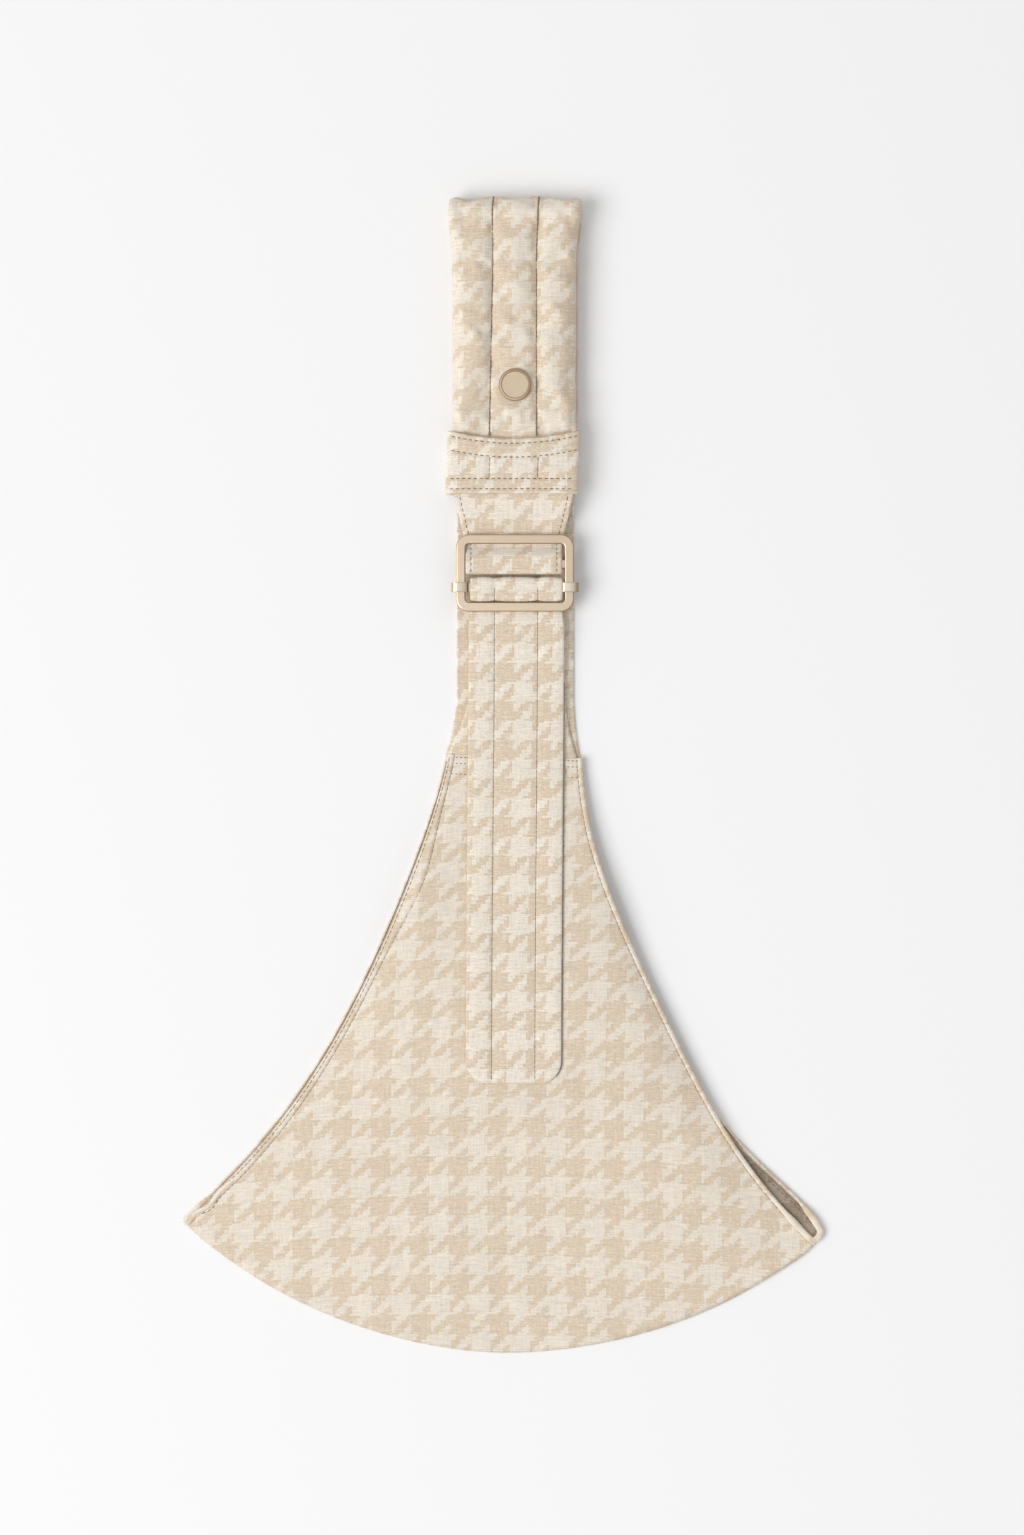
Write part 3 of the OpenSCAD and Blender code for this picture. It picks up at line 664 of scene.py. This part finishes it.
def rounded_route(corners, steps=6):
    """A line of (y, z) points through corners (y, z, radius), rounded at each one."""
    line = [Vector(corners[0][:2])]
    for before, here, after in zip(corners, corners[1:], corners[2:]):
        a, b, c = (Vector(p[:2]) for p in (before, here, after))
        u, w = (a - b).normalized(), (c - b).normalized()
        half = math.acos(max(-1.0, min(1.0, u.dot(w)))) / 2
        centre = b + (u + w).normalized() * (here[2] / math.sin(half))
        start = b + u * (here[2] / math.tan(half)) - centre
        side = 1 if -u.x * w.y + u.y * w.x > 0 else -1
        for i in range(steps + 1):
            angle = side * (math.pi - 2 * half) * i / steps
            c2, s2 = math.cos(angle), math.sin(angle)
            line.append(centre + Vector((start.x * c2 - start.y * s2, start.x * s2 + start.y * c2)))
    line.append(Vector(corners[-1][:2]))
    return line


def spaced(line, step):
    """The same line with no gap longer than step, and without its doubled points."""
    out = [line[0]]
    for p in line[1:]:
        gap = (p - out[-1]).length
        if gap < 0.05:
            continue
        parts = max(1, math.ceil(gap / step))
        start = out[-1].copy()
        out += [start.lerp(p, j / parts) for j in range(1, parts + 1)]
    return out


def lengths_along(route):
    """The length of a route up to each of its points."""
    runs = [0.0]
    for a, b in zip(route, route[1:]):
        runs.append(runs[-1] + (b - a).length)
    return runs


def off_route(route, i, height):
    """A point that stands off a route in y and z, square to it, at its point i."""
    along = heading(route, i)
    return route[i] + Vector((-along.y, along.x)) * height


def band(name, route, across, half_width, half_thickness, material, spot, drift):
    """A flat tube of cloth along a route in y and z. across lists its columns from -1 to 1.
    half_width(y, run) and half_thickness(x, w, y, run, face) shape it, drift(run) leans it; run is
    the length so far and face is 1 on its upper side, -1 on its lower one."""
    ring = [(t, 1) for t in across] + [(t, -1) for t in across[-2:0:-1]]
    ring.append(ring[0])
    runs = lengths_along(route)

    def place(k, i):
        y, run = route[i].x, runs[i]
        t, face = ring[k]
        w = half_width(y, run)
        x = t * w
        h = 0.0 if abs(t) == 1 else half_thickness(x, w, y, run, face)
        return Vector((x + drift(run), *off_route(route, i, h * face))), spot(x, run, face)

    return finished(name, closed(cloth(len(ring) - 1, len(route) - 1, place)), material, body=None)
def spread_columns(*groups):
    """Places of columns or rows: pairs of (place, how many steps from the one before)."""
    out = [groups[0][0]]
    for (a, _), (b, steps) in zip(groups, groups[1:]):
        out += [lerp(a, b, j / steps) for j in range(1, steps + 1)]
    return out
    return out


def flare(y, half, foot=34.6, reach=30, bend=1.5):
    """Half width of a strap that widens in a curve to its foot in the top seam."""
    return half + (foot - half) * max(0.0, min(1.0, (seam_y + reach - y) / reach)) ** bend


def pressed(inward, half, start, row, dip, spread):
    """Half thickness of a flat double layer: rounded at its edge, drawn in along a sewn row."""
    return half * min(1.0, start + inward * 1.2) - dip * hump(inward, row, spread)


strap_foot_y = seam_y - 2
strap_cream = (0.865, 0.793, 0.688)     # a slightly lighter cream than the seat's, for the straps, neck and cuffs
strap_cloth = houndstooth("strap_cloth", (19.45, 19.77), (0.411, 0.419), -0.73, 0.883,
                          light=strap_cream)
back_strap = band(
    "back_strap_cloth",
    spaced(rounded_route([(strap_foot_y, 0.7), (128, 0.7, 20), (140, 3, 20), (154, 3)]), 2.4),
    spread_columns((-1, 0), (-0.985, 1), (-0.95, 2), (0.95, 30), (0.985, 2), (1, 1)),
    lambda y, run: flare(y, 30.0),
    lambda x, w, y, run, face: pressed(w - abs(x), 0.7, 0.45, 3.0, 0.16, 0.5),
    strap_cloth, lambda x, run, face: (x, run + 10), lambda run: lerp(-1.2, 0.2, smooth(run / 34)))
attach(back_strap, "root")
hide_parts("back_strap")

# The adjuster strap
quilt_lines = (-11.2, 10.9)
strap_half = 24.6
tail_end = -157.0
tail_round = 11             # radius of the tail's corners
tail_from = 150             # the length of strap after which it is the tail, on its way back down
adjuster_route = rounded_route([
    (strap_foot_y, 2.7), (58, 2.7, 40), (74, 4.1, 30), (90.3, 4.1, 3), (94.0, 7.4, 2.5),
    (100.1, 7.4, 2), (100.1, 11.4, 2), (89.9, 11.4, 1.6), (89.9, 6.6, 1.6), (70, 6.6, 30),
    (56, 5.2, 30), (seam_y + 2, 5.25)])
for i in range(1, 45):
    s = i / 64
    adjuster_route.append(Vector((seam_y + row_point(front_edges, s, 0).y,
                                  pouch_z(s) + lerp(2.75, 1.95, smooth(s / 0.1)))))
adjuster_route = spaced([p for p in adjuster_route[:-1] if p.y > 0], 2.2)
while adjuster_route[-1].x < tail_end + tail_round:
    adjuster_route.pop()
last = adjuster_route[-1]
fall = (last - adjuster_route[-4]).normalized()
for j in range(1, 13):
    y = tail_end + tail_round * (1 - math.sin(math.radians(90 * j / 12)))
    adjuster_route.append(Vector((y, last.y + fall.y * (last.x - y) / -fall.x)))
adjuster_runs = lengths_along(adjuster_route)
tail_reference = next(run + p.x for p, run in zip(adjuster_route, adjuster_runs) if p.x < -100)


def adjuster_half(y, run):
    """Half width: flared at the foot, a little narrower in the buckle, the tail's end rounded."""
    if run > tail_from and y < tail_end + tail_round:
        short = tail_round - max(0.0, y - tail_end)
        return strap_half - tail_round + math.sqrt(max(0.0, tail_round ** 2 - short ** 2))
    if run <= tail_from and y < 60:
        return flare(y, strap_half, 33.4, bend=1.3)
    return strap_half - 0.9 * smooth((y - 76) / 8)


def quilted(x, w, y, run, face):
    """Half thickness of the quilted strap at x: three shallow channels between stitched lines."""
    marks = (-w, *quilt_lines, w)
    a, b = next((a, b) for a, b in zip(marks, marks[1:]) if a <= x <= b)
    u = (x - a) / (b - a)
    valley = 0.4 if abs(a if u < 0.5 else b) == w else 0.55
    h = valley + (1.2 - valley) * (1 - abs(2 * u - 1) ** 3.2)
    if run > tail_from:
        h *= 0.62 + 0.38 * smooth((y - tail_end) / 5)
        if face > 0 and y < 0:
            h = lerp(h, 0.6, smooth(-y / 10))       # flat underneath, where it lies on the pouch
    if run < 6:
        h *= 0.5 + 0.08 * run                       # pressed thin inside the top seam
    return h


def strap_spot(x, run, face):
    """The strap's two faces are separate layers, each with its right side out."""
    return (x, run + 10) if face > 0 else (x, tail_reference - run)


def adjuster_drift(run):
    """The strap leans: a little to the left at its foot, right at the buckle, left at its end."""
    if run < 40:
        return lerp(-1.7, 0.7, smooth(run / 34))
    return lerp(0.7, -0.8, smooth((run - 100) / 260))


adjuster = band(
    "adjuster_strap_quilted", adjuster_route,
    spread_columns((-1, 0), (-0.985, 1), (-0.95, 1), (-0.9, 1), (-0.53, 8), (-0.48, 2), (-0.4553, 1),
                   (-0.43, 1), (-0.38, 2), (0.37, 14), (0.42, 2), (0.443, 1), (0.468, 1), (0.52, 2),
                   (0.9, 8), (0.95, 1), (0.985, 1), (1, 1)),
    adjuster_half, quilted, strap_cloth, strap_spot, adjuster_drift)
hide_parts("adjuster_run", "adjuster_loop", "adjuster_tail")
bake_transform(adjuster)

quilt_rows = [[Vector((x + adjuster_drift(run), *off_route(adjuster_route, i, -0.62)))
               for i, run in enumerate(adjuster_runs) if 100 <= run <= adjuster_runs[-1] - 1]
              for x in quilt_lines]
# The seam that joins the tube's two layers, on the right edge of the free tail; its row is wide and dark
# and also stands in for the edge's contact shadow: painted shadow on the shaded side
edge_seam_and_painted_shadow = [Vector((adjuster_half(p.x, run) + adjuster_drift(run) + 0.1, p.x, p.y - 0.15))
             for p, run in zip(adjuster_route, adjuster_runs)
             if run > tail_from and tail_end + 3 < p.x < 78]
quilting = stitching("strap_quilting_stitches",
                     *((row, {"pitch": 2.6, "stitch": 3.1, "width": 0.36}) for row in quilt_rows),
                     (edge_seam_and_painted_shadow, {"pitch": 2.6, "stitch": 3.2, "width": 0.6}), body=None)
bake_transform(quilting)

# ---------------------------------------------------------------- Slide buckle
# A cast frame with a fixed bar across it and a pressed slide bar hooked over its rails, both in
# satin pale gold plating. The neck is sewn round the fixed bar, the strap goes round the slide.


def satin_gold(name, colour, grain_turn, painted_shade):
    """Satin plating with a fine brushed grain. The last argument gives the share of painted shade
    over each place of a piece."""
    material, tree, shader = new_finish(name)
    place = tree.nodes.new("ShaderNodeTexCoord")
    spot = place.outputs["Object"]
    lines = grain(tree, spot, grain_turn, 5.0)
    clouds = grain(tree, spot, (160, 160, 160))
    # Painted reflection and shade: where the plating turns over an edge it is painted dark, and painted
    # lighter on edges that face the lamp on the left
    outward = axes_of(tree, place.outputs["Normal"])
    turned = sums(tree, "MULTIPLY", sums(tree, "SUBTRACT", 0.99, outward[2]), 5.0)
    painted_highlight_share = sums(tree, "MULTIPLY_ADD", outward[0], -0.5, 0.5)
    deeper = tuple(c * 0.90 for c in colour)
    painted_edge_shade = tuple(c * k for c, k in zip(colour, (0.30, 0.24, 0.18)))
    painted_edge_highlight = tuple(c * k for c, k in zip(colour, (0.86, 0.70, 0.50)))
    # Each piece's painted shade pulls its plain colour towards the dark edge colour
    base = blended(tree, painted_shade(tree, spot), blended(tree, clouds, deeper, colour), painted_edge_shade)
    edge = blended(tree, painted_highlight_share, painted_edge_shade, painted_edge_highlight)
    tree.links.new(blended(tree, kept_within(tree, turned, 0.0, 1.0), base, edge),
                   shader.inputs["Base Color"])
    tree.links.new(sums(tree, "MULTIPLY_ADD", lines, 0.16, 0.26), shader.inputs["Roughness"])
    relief(tree, shader, lines, 0.12, 0.00004)
    shader.inputs["Metallic"].default_value = 1.0
    return material


def plate(metal, *nodes):
    """Gives CAD nodes their finish."""
    for node in nodes:
        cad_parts[node].data.materials.clear()
        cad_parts[node].data.materials.append(metal)


def hook_painted_shade(tree, spot):
    """Painted shade: each hook is painted darker from its left towards its right end, as a bent strip
    turned away from the lamp would be shaded, and dark along its rims.
    """
    hook_width, hook_start, rim_width = 0.00807, 0.0320, 0.00035
    slide_middle, slide_width = 0.0960, 0.0048
    x, y, _ = axes_of(tree, spot)
    share = sums(tree, "FRACT", sums(tree, "DIVIDE", sums(tree, "ADD", x, hook_start), hook_width))
    from_middle = sums(tree, "ABSOLUTE", sums(tree, "SUBTRACT", y, slide_middle))
    on_rim = sums(tree, "GREATER_THAN", from_middle, slide_width / 2 - rim_width)
    return sums(tree, "MAXIMUM", sums(tree, "MULTIPLY", on_rim, 0.55),
                sums(tree, "MULTIPLY", sums(tree, "POWER", share, 1.7), 0.85))


def frame_painted_shade(tree, spot):
    """Painted shade: the frame is painted darker towards its right and upper bars, away from the lamp, and
    stays palest on its left and lower bars.
    """
    x, y, _ = axes_of(tree, spot)
    frame_middle = 0.103
    right = sums(tree, "MULTIPLY_ADD", x, 2.6, 0.08)
    upper = sums(tree, "MULTIPLY", sums(tree, "SUBTRACT", y, frame_middle), 3.0)
    return kept_within(tree, sums(tree, "ADD", right, upper), 0.0, 0.18)


grain_across_bars = (260, 2600, 2600)
plate(satin_gold("satin_gold_frame", (0.74, 0.61, 0.46), grain_across_bars, frame_painted_shade), "buckle_frame")
# The slide's paler colour is the painted highlight on the left of its hooks
plate(satin_gold("satin_gold_slide", (0.84, 0.75, 0.61), grain_across_bars, hook_painted_shade), "slide_bar")

# ---------------------------------------------------------------- Neck
# A folded band of the face cloth: two layers from the front cuff, tapering down to the buckle,
# where it goes over the fixed bar and back under. Both edges are topstitched.

neck_route = spaced(rounded_route([
    (157, 12.45), (141, 12.45, 14), (125.2, 7.2, 4), (124.2, 7.2, 1), (116.5, 7.2, 4), (111.5, 11.1, 3),
    (103.2, 11.1, 1.7), (103.2, 7.7, 1.7), (111, 7.7, 4), (116, 5.9, 4), (124.2, 5.9, 1),
    (125.2, 5.9, 4), (141, 11.15, 14), (157, 11.15)]), 1.2)
neck_runs = lengths_along(neck_route)
neck_wide_y, neck_narrow_y = 143.5, 118.7
neck_row = 2.7              # from the neck's edge to its stitching
neck_shift = -0.6


def neck_half(y, run):
    share = max(0.0, min(1.0, (neck_wide_y - y) / (neck_wide_y - neck_narrow_y)))
    return lerp(30.4, 24.6, share ** 1.1)


neck_cloth = houndstooth("neck_cloth", (19.75, 20.77), (0.832, 0.773), -1.45, 0.951, light=strap_cream)
neck = band(
    "neck_cloth", neck_route,
    spread_columns((-1, 0), (-0.985, 1), (-0.95, 1), (-0.91, 2), (-0.87, 2), (-0.8, 2), (0.8, 24),
                   (0.87, 2), (0.91, 2), (0.95, 2), (0.985, 1), (1, 1)),
    neck_half, lambda x, w, y, run, face: pressed(w - abs(x), 0.58, 0.5, neck_row, 0.14, 0.45),
    neck_cloth, lambda x, run, face: (x, 157 - run), lambda run: neck_shift)
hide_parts("neck", "neck_loop")
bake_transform(neck)


def neck_edge_row(side):
    """The row beside one edge of the neck's upper layer, from the cuff to the fixed bar."""
    row = []
    for i, run in enumerate(neck_runs):
        if 14 < run < neck_runs[-1] / 2 - 1:
            at = off_route(neck_route, i, -0.5)
            x = side * (neck_half(neck_route[i].x, run) - neck_row) + neck_shift
            row.append(Vector((x, at.x, at.y + 0.1)))
    return row


neck_stitches = stitching("neck_edge_stitches",
                          *((neck_edge_row(side), {"stitch": 2.2}) for side in (-1, 1)), body=None)
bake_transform(neck_stitches)

# ---------------------------------------------------------------- Cuffs
# A flat sleeve of face cloth round each end of the shoulder pad. The pad goes in at its curved
# top edge, the neck or the back strap at the bottom, and four rows of stitching close it.

cuff_half = 33.6
cuff_low, cuff_high, cuff_dip = 143.5, 175.7, 4.1
cuff_quilts = (-11.6, 13.0)                 # where the pad's quilting goes on over the front sleeve
front_cuff_z, back_cuff_z = 11.8, 3.0       # the middle planes of the two sleeves


def cuff_shift(y):
    """The sleeve is pulled a little to the left, more so at its foot."""
    return lerp(-0.7, -1.9, (cuff_high - y) / (cuff_high - cuff_low))


def cuff_top(x):
    return cuff_high - cuff_dip * (1 - (x / cuff_half) ** 2)


def cuff_rows(x):
    """Heights of the four stitch rows: two follow the curved top edge, two are straight."""
    return (cuff_top(x) - 2.4, cuff_top(x) - 9.5, 151.2, 146.0)


def cuff_bulge(x, y):
    """How far the sleeve stands from its middle plane: full between the rows, pulled in on them."""
    full = 3.0 * max(0.0, 1 - abs(x / cuff_half) ** 7) ** 0.45
    dents = sum(hump(y, row, 0.8) for row in cuff_rows(x)) * 0.5
    dents += sum(0.8 * hump(x, q, 1.1) for q in cuff_quilts if 151.6 < y < cuff_top(x) - 9.9)
    low, high = y - cuff_low, cuff_top(x) - y
    lip = 0.45 * math.exp(-low / 0.5) + 0.45 * math.exp(-high / 0.5)
    slack = 0.22 * noise.noise(Vector((x * 0.09, y * 0.3, 2.2)))
    return max(0.2, full - (dents + lip - slack) * min(1.0, full / 2.0))


def cuff(node, middle_z, up):
    """A sleeve round its middle plane; up is 1 where its seen face is the upper one."""
    half_ring, rows = 90, 60

    def place(k, i):
        across = -math.cos(math.pi * k / half_ring)
        x = cuff_half * math.copysign(abs(across) ** 0.8, across)
        y = lerp(cuff_low, cuff_top(x), i / rows)
        face = 1 if k <= half_ring else -1
        z = middle_z if k % half_ring == 0 else middle_z + face * cuff_bulge(x, y)
        spot = (x if face * up > 0 else 140 - x, y - 154.5)
        return Vector((x + cuff_shift(y), y, z)), spot

    bm = cloth(2 * half_ring, rows, place)
    bmesh.ops.remove_doubles(bm, verts=bm.verts, dist=0.0005)
    bmesh.ops.recalc_face_normals(bm, faces=bm.faces)
    piece = finished(node + "_cloth", bm, cuff_cloth, thickness=0.9, offset=-1)
    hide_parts(node)


def cuff_line(row, middle_z, up, lift):
    line = []
    for j in range(-64, 65):
        x = j * 0.5
        y = cuff_rows(x)[row]
        line.append(Vector((x + cuff_shift(y), y, middle_z + up * (cuff_bulge(x, y) + lift))))
    return line


cuff_cloth = houndstooth("cuff_cloth", (18.6, 20.66), (0.507, 0.475), 1.48, 0.945, light=strap_cream)
cuff("front_cuff", front_cuff_z, 1)
cuff("back_cuff", back_cuff_z, -1)
upright_rows = [[Vector((q + cuff_shift(y), y, front_cuff_z + cuff_bulge(q, y) + 0.12))
                 for y in (151.8 + 0.5 * j for j in range(21))] for q in cuff_quilts]
stitching("front_cuff_stitches",
          *((cuff_line(row, front_cuff_z, 1, 0.2), {"stitch": 2.1, "width": 0.5}) for row in range(4)),
          *((row, {"pitch": 2.6, "stitch": 3.0, "width": 0.5}) for row in upright_rows))
stitching("back_cuff_stitches",
          *((cuff_line(row, back_cuff_z, -1, 0.0), {"width": 0.3}) for row in range(4)))

# ---------------------------------------------------------------- Shoulder pad
# A padded strap folded in two: face cloth outside, plain lining inside, and wadding between,
# quilted in three channels. The cloth is inflated between its seams by simulation.

pad_mid_z = 8.5
pad_low_y, turn_y = 163.0, 287.5            # the pad's ends inside the cuffs, and where it folds
pad_half = 31.5
pad_shift, back_run_shift = -0.4, 1.4       # the back run lies a little to the right of the front one
widest_y = 288              # the pad is at its widest from here on, as the fold spreads it
pad_quilts = (-11.0, 11.0)
quilt_v, crown_v, side_v, inner_v, seam_v = 4.5, 8.1, 2.2, 1.25, 1.7
cuff_outer_v, cuff_inner_v = 4.6, 2.2
groove_cloth = 3.9          # how much cloth each quilting seam takes in
stud_y = 198.8

# Each row across the pad is (turn, y): turn is 0 on the front run, grows over the fold, and is
# pi on the back run
run_ys = spread_columns((pad_low_y, 0), (168, 2), (180, 12), (turn_y, 45))
pad_rows = [(0.0, y) for y in run_ys]
pad_rows += [(math.pi * i / 14, turn_y) for i in range(1, 14)]
pad_rows += [(math.pi, y) for y in reversed(run_ys)]
outer_x = spread_columns((-31.5, 0), (-30.6, 1), (-29, 1), (-13, 8), (-11.9, 1), (-11, 1), (-10.1, 1),
                         (-9, 1), (9, 9), (10.1, 1), (11, 1), (11.9, 1), (13, 1), (29, 8), (30.6, 1),
                         (31.5, 1))
inner_x = spread_columns((31.5, 0), (30, 1), (-30, 14), (-31.5, 1))
pad_ring = [(x, True) for x in outer_x] + [(x, False) for x in inner_x[1:-1]]
pad_ring.append(pad_ring[0])


def pad_point(row, x, v):
    """The point at x across a row of the pad that stands v out from its middle plane."""
    turn, y = row
    return Vector((x, y + v * math.sin(turn), pad_mid_z + v * math.cos(turn)))


def length_to(row):
    """How far along the cover's flat cloth a row lies, counted as y on the front run."""
    turn, y = row
    fold_radius = 8
    return turn_y + fold_radius * turn + (y - turn_y if turn == 0 else turn_y - y)


def crowned_v(x):
    """How far the face stands out before it is inflated: a crown in each of the three channels."""
    marks = ((-pad_half, side_v), (pad_quilts[0], quilt_v), (pad_quilts[1], quilt_v), (pad_half, side_v))
    (a, va), (b, vb) = next(pair for pair in zip(marks, marks[1:]) if x <= pair[1][0])
    u = (x - a) / (b - a)
    base = lerp(va, vb, u)
    return base + (crown_v - base) * 0.85 * (1 - abs(2 * u - 1) ** 4)


def boxy_v(x, v, y):
    """The end is boxy: its seams and quilting stand out where the pad folds."""
    at_fold = 7.3 + 0.8 * (v - side_v) / (crown_v - side_v) if abs(x) < 30 else 6.6
    return lerp(v, at_fold, smooth((y - turn_y + 9) / 9))


def under_stud_v(x, v, y):
    """The press stud holds the face down on a flat spot."""
    return lerp(6.95, v, smooth((math.hypot(x, y - stud_y) - 8.0) / 4.0))


def cuff_entry(y):
    """0 in the free part of the pad, 1 where it is flattened inside its cuff."""
    return smooth((185 - y) / 10)


def quilt_lean(x, y):
    """The left quilting line runs in towards the middle at the fold, out towards the cuff."""
    leans = lerp(-1.4, 0.8, (y - 178) / 112) if x < 0 else 0.2
    return leans * smooth(abs(x) / 8) * smooth((pad_half - abs(x)) / 12)


def pad_spread(y):
    """How much wider the pad lies than it is drawn."""
    return 1.013 + 0.07 * smooth((y - 262) / (widest_y - 262))


def leaned(x, row):
    """Where x ends up when the pad is leaned, widened and shifted."""
    turn, y = row
    spread = pad_spread(widest_y if 0 < turn < math.pi else y)
    return (x + quilt_lean(x, y)) * spread + pad_shift + back_run_shift * (turn / math.pi)


def pad_place(k, i):
    x, outer = pad_ring[k]
    row = pad_rows[i]
    y = row[1]
    v = crowned_v(x) if outer else inner_v
    if abs(x) == pad_half:
        v = seam_v
    if outer:
        v = lerp(boxy_v(x, v, y), cuff_outer_v, cuff_entry(y))
        v = under_stud_v(x, v - 1.3 * hump(y, cuff_top(x) + 0.5, 1.4), y)
        taken_in = groove_cloth if x > 11.5 else -groove_cloth if x < -11.5 else 0
        spot_x = x + taken_in
    else:
        v = lerp(v, cuff_inner_v, cuff_entry(y))
        spot_x = x + 200
    return pad_point(row, leaned(x, row), v), (spot_x, length_to(row) - 240)


pad_cloth = houndstooth("pad_cloth", (18.85, 21.7), (0.432, 0.517), 0.2, 0.866)
pad = finished("shoulder_pad_cover", closed(cloth(len(pad_ring) - 1, len(pad_rows) - 1, pad_place)),
               pad_cloth)


def held_by_stitches(co):
    """True where a seam, a quilt line, the lining, a cuff or the press stud holds the cover."""
    x, y, z = (1000 * metres for metres in co)
    if y > turn_y:
        turn, v = math.atan2(y - turn_y, z - pad_mid_z), math.hypot(y - turn_y, z - pad_mid_z)
    else:
        turn, v = math.pi if z < pad_mid_z else 0.0, abs(z - pad_mid_z)
    x = (x - pad_shift - back_run_shift * (turn / math.pi)) / pad_spread(y)
    off_quilting = min(abs(x - q - quilt_lean(q, min(y, turn_y))) for q in pad_quilts)
    off_stud = math.hypot(x, y - stud_y)
    return abs(x) > 31.2 or off_quilting < 0.3 or v < 1.5 or y < 176 or off_stud < 8.4


held = pad.vertex_groups.new(name="held")
held.add([v.index for v in pad.data.vertices if held_by_stitches(v.co)], 1.0, "REPLACE")
drawn = [v.co.copy() for v in pad.data.vertices]
puff = pad.modifiers.new("puff", "CLOTH")
puff.settings.quality = 6
puff.settings.mass = 0.2
puff.settings.tension_stiffness = 15
puff.settings.compression_stiffness = 15
puff.settings.shear_stiffness = 8
puff.settings.bending_stiffness = 0.3
puff.settings.shrink_min = -0.05
puff.settings.use_pressure = True
puff.settings.uniform_pressure_force = 4
puff.settings.vertex_group_mass = "held"
puff.settings.pin_stiffness = 1.0
puff.settings.effector_weights.gravity = 0
puff.collision_settings.use_collision = False
for step in range(1, 21):
    scene.frame_set(step)
puffed = pad.evaluated_get(bpy.context.evaluated_depsgraph_get()).data
swollen = [v.co.copy() for v in puffed.vertices]
pad.modifiers.remove(puff)
scene.frame_set(1)
most_swelling, floor_clearance = 0.0025, 0.0001
for v, start, end in zip(pad.data.vertices, drawn, swollen):
    move = end - start
    v.co = start + move * min(1.0, most_swelling / max(move.length, 1e-9))
    v.co.z = max(v.co.z, floor_clearance)       # flat where it lies on the floor
pad.vertex_groups.clear()
soft = pad.modifiers.new("soft", "SUBSURF")
soft.levels = 1
soft.render_levels = 1
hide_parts("pad_face", "foam_left", "foam_middle", "foam_right")


def pad_quilting(q):
    """A quilting row on the face, from the cuff over the fold."""
    return [pad_point((turn, y), leaned(q, (turn, y)),
                      under_stud_v(q, boxy_v(q, quilt_v, y), y) + 0.25)
            for turn, y in pad_rows if turn < math.pi and y > 172]


stitching("pad_quilting_stitches",
          *((pad_quilting(q), {"pitch": 2.6, "stitch": 3.5, "width": 0.85, "up": Vector((1, 0, 0))})
            for q in pad_quilts))

lining_half, lining_v, lining_steps = 31.2, 0.7, 24


def lining_place(k, i):
    x = lerp(-lining_half, lining_half, k / lining_steps)
    turn, y = pad_rows[i]
    v = lerp(lining_v, 1.9, cuff_entry(y))
    # It is pieced at the end of the fold, where its grain starts again
    run = y if turn == 0 else 2 * turn_y - y + turn % math.pi
    return pad_point((turn, y), x, v), (x, run)


lining_cloth = houndstooth("lining_cloth", houndstooth_repeat, (0.0, 0.0), 0.0, 0.6, True)
lining = finished("pad_lining_cloth", cloth(lining_steps, len(pad_rows) - 1, lining_place), lining_cloth,
                  thickness=0.6)
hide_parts("pad_lining")

# ---------------------------------------------------------------- Press stud
# A capped snap fastener that holds the two runs of the pad together: cap and rivet, socket, stud
# and post, stamped brass in the same satin pale gold as the buckle.


def rim_painted_shade(tree, spot):
    """Painted shade: the cap's raised rim is painted dark, most on its upper right, away from the lamp,
    and not at all on its lower left.
    """
    inner_radius = 0.0067
    x, y, _ = axes_of(tree, placed(tree, spot, shift=(0, -stud_y / 1000, 0)))
    radius = sums(tree, "POWER", sums(tree, "ADD", sums(tree, "MULTIPLY", x, x),
                                      sums(tree, "MULTIPLY", y, y)), 0.5)
    on_rim = sums(tree, "GREATER_THAN", radius, inner_radius)
    to_upper_right = sums(tree, "ADD", x, sums(tree, "MULTIPLY", y, 0.8))
    dark = kept_within(tree, sums(tree, "MULTIPLY_ADD", to_upper_right, 42.0, 0.40), 0.0, 0.62)
    return sums(tree, "MULTIPLY", on_rim, dark)


plate(satin_gold("satin_gold_stud", (0.655, 0.532, 0.392), (900, 900, 900), rim_painted_shade),
      "snap_cap", "snap_socket", "snap_stud", "snap_post")
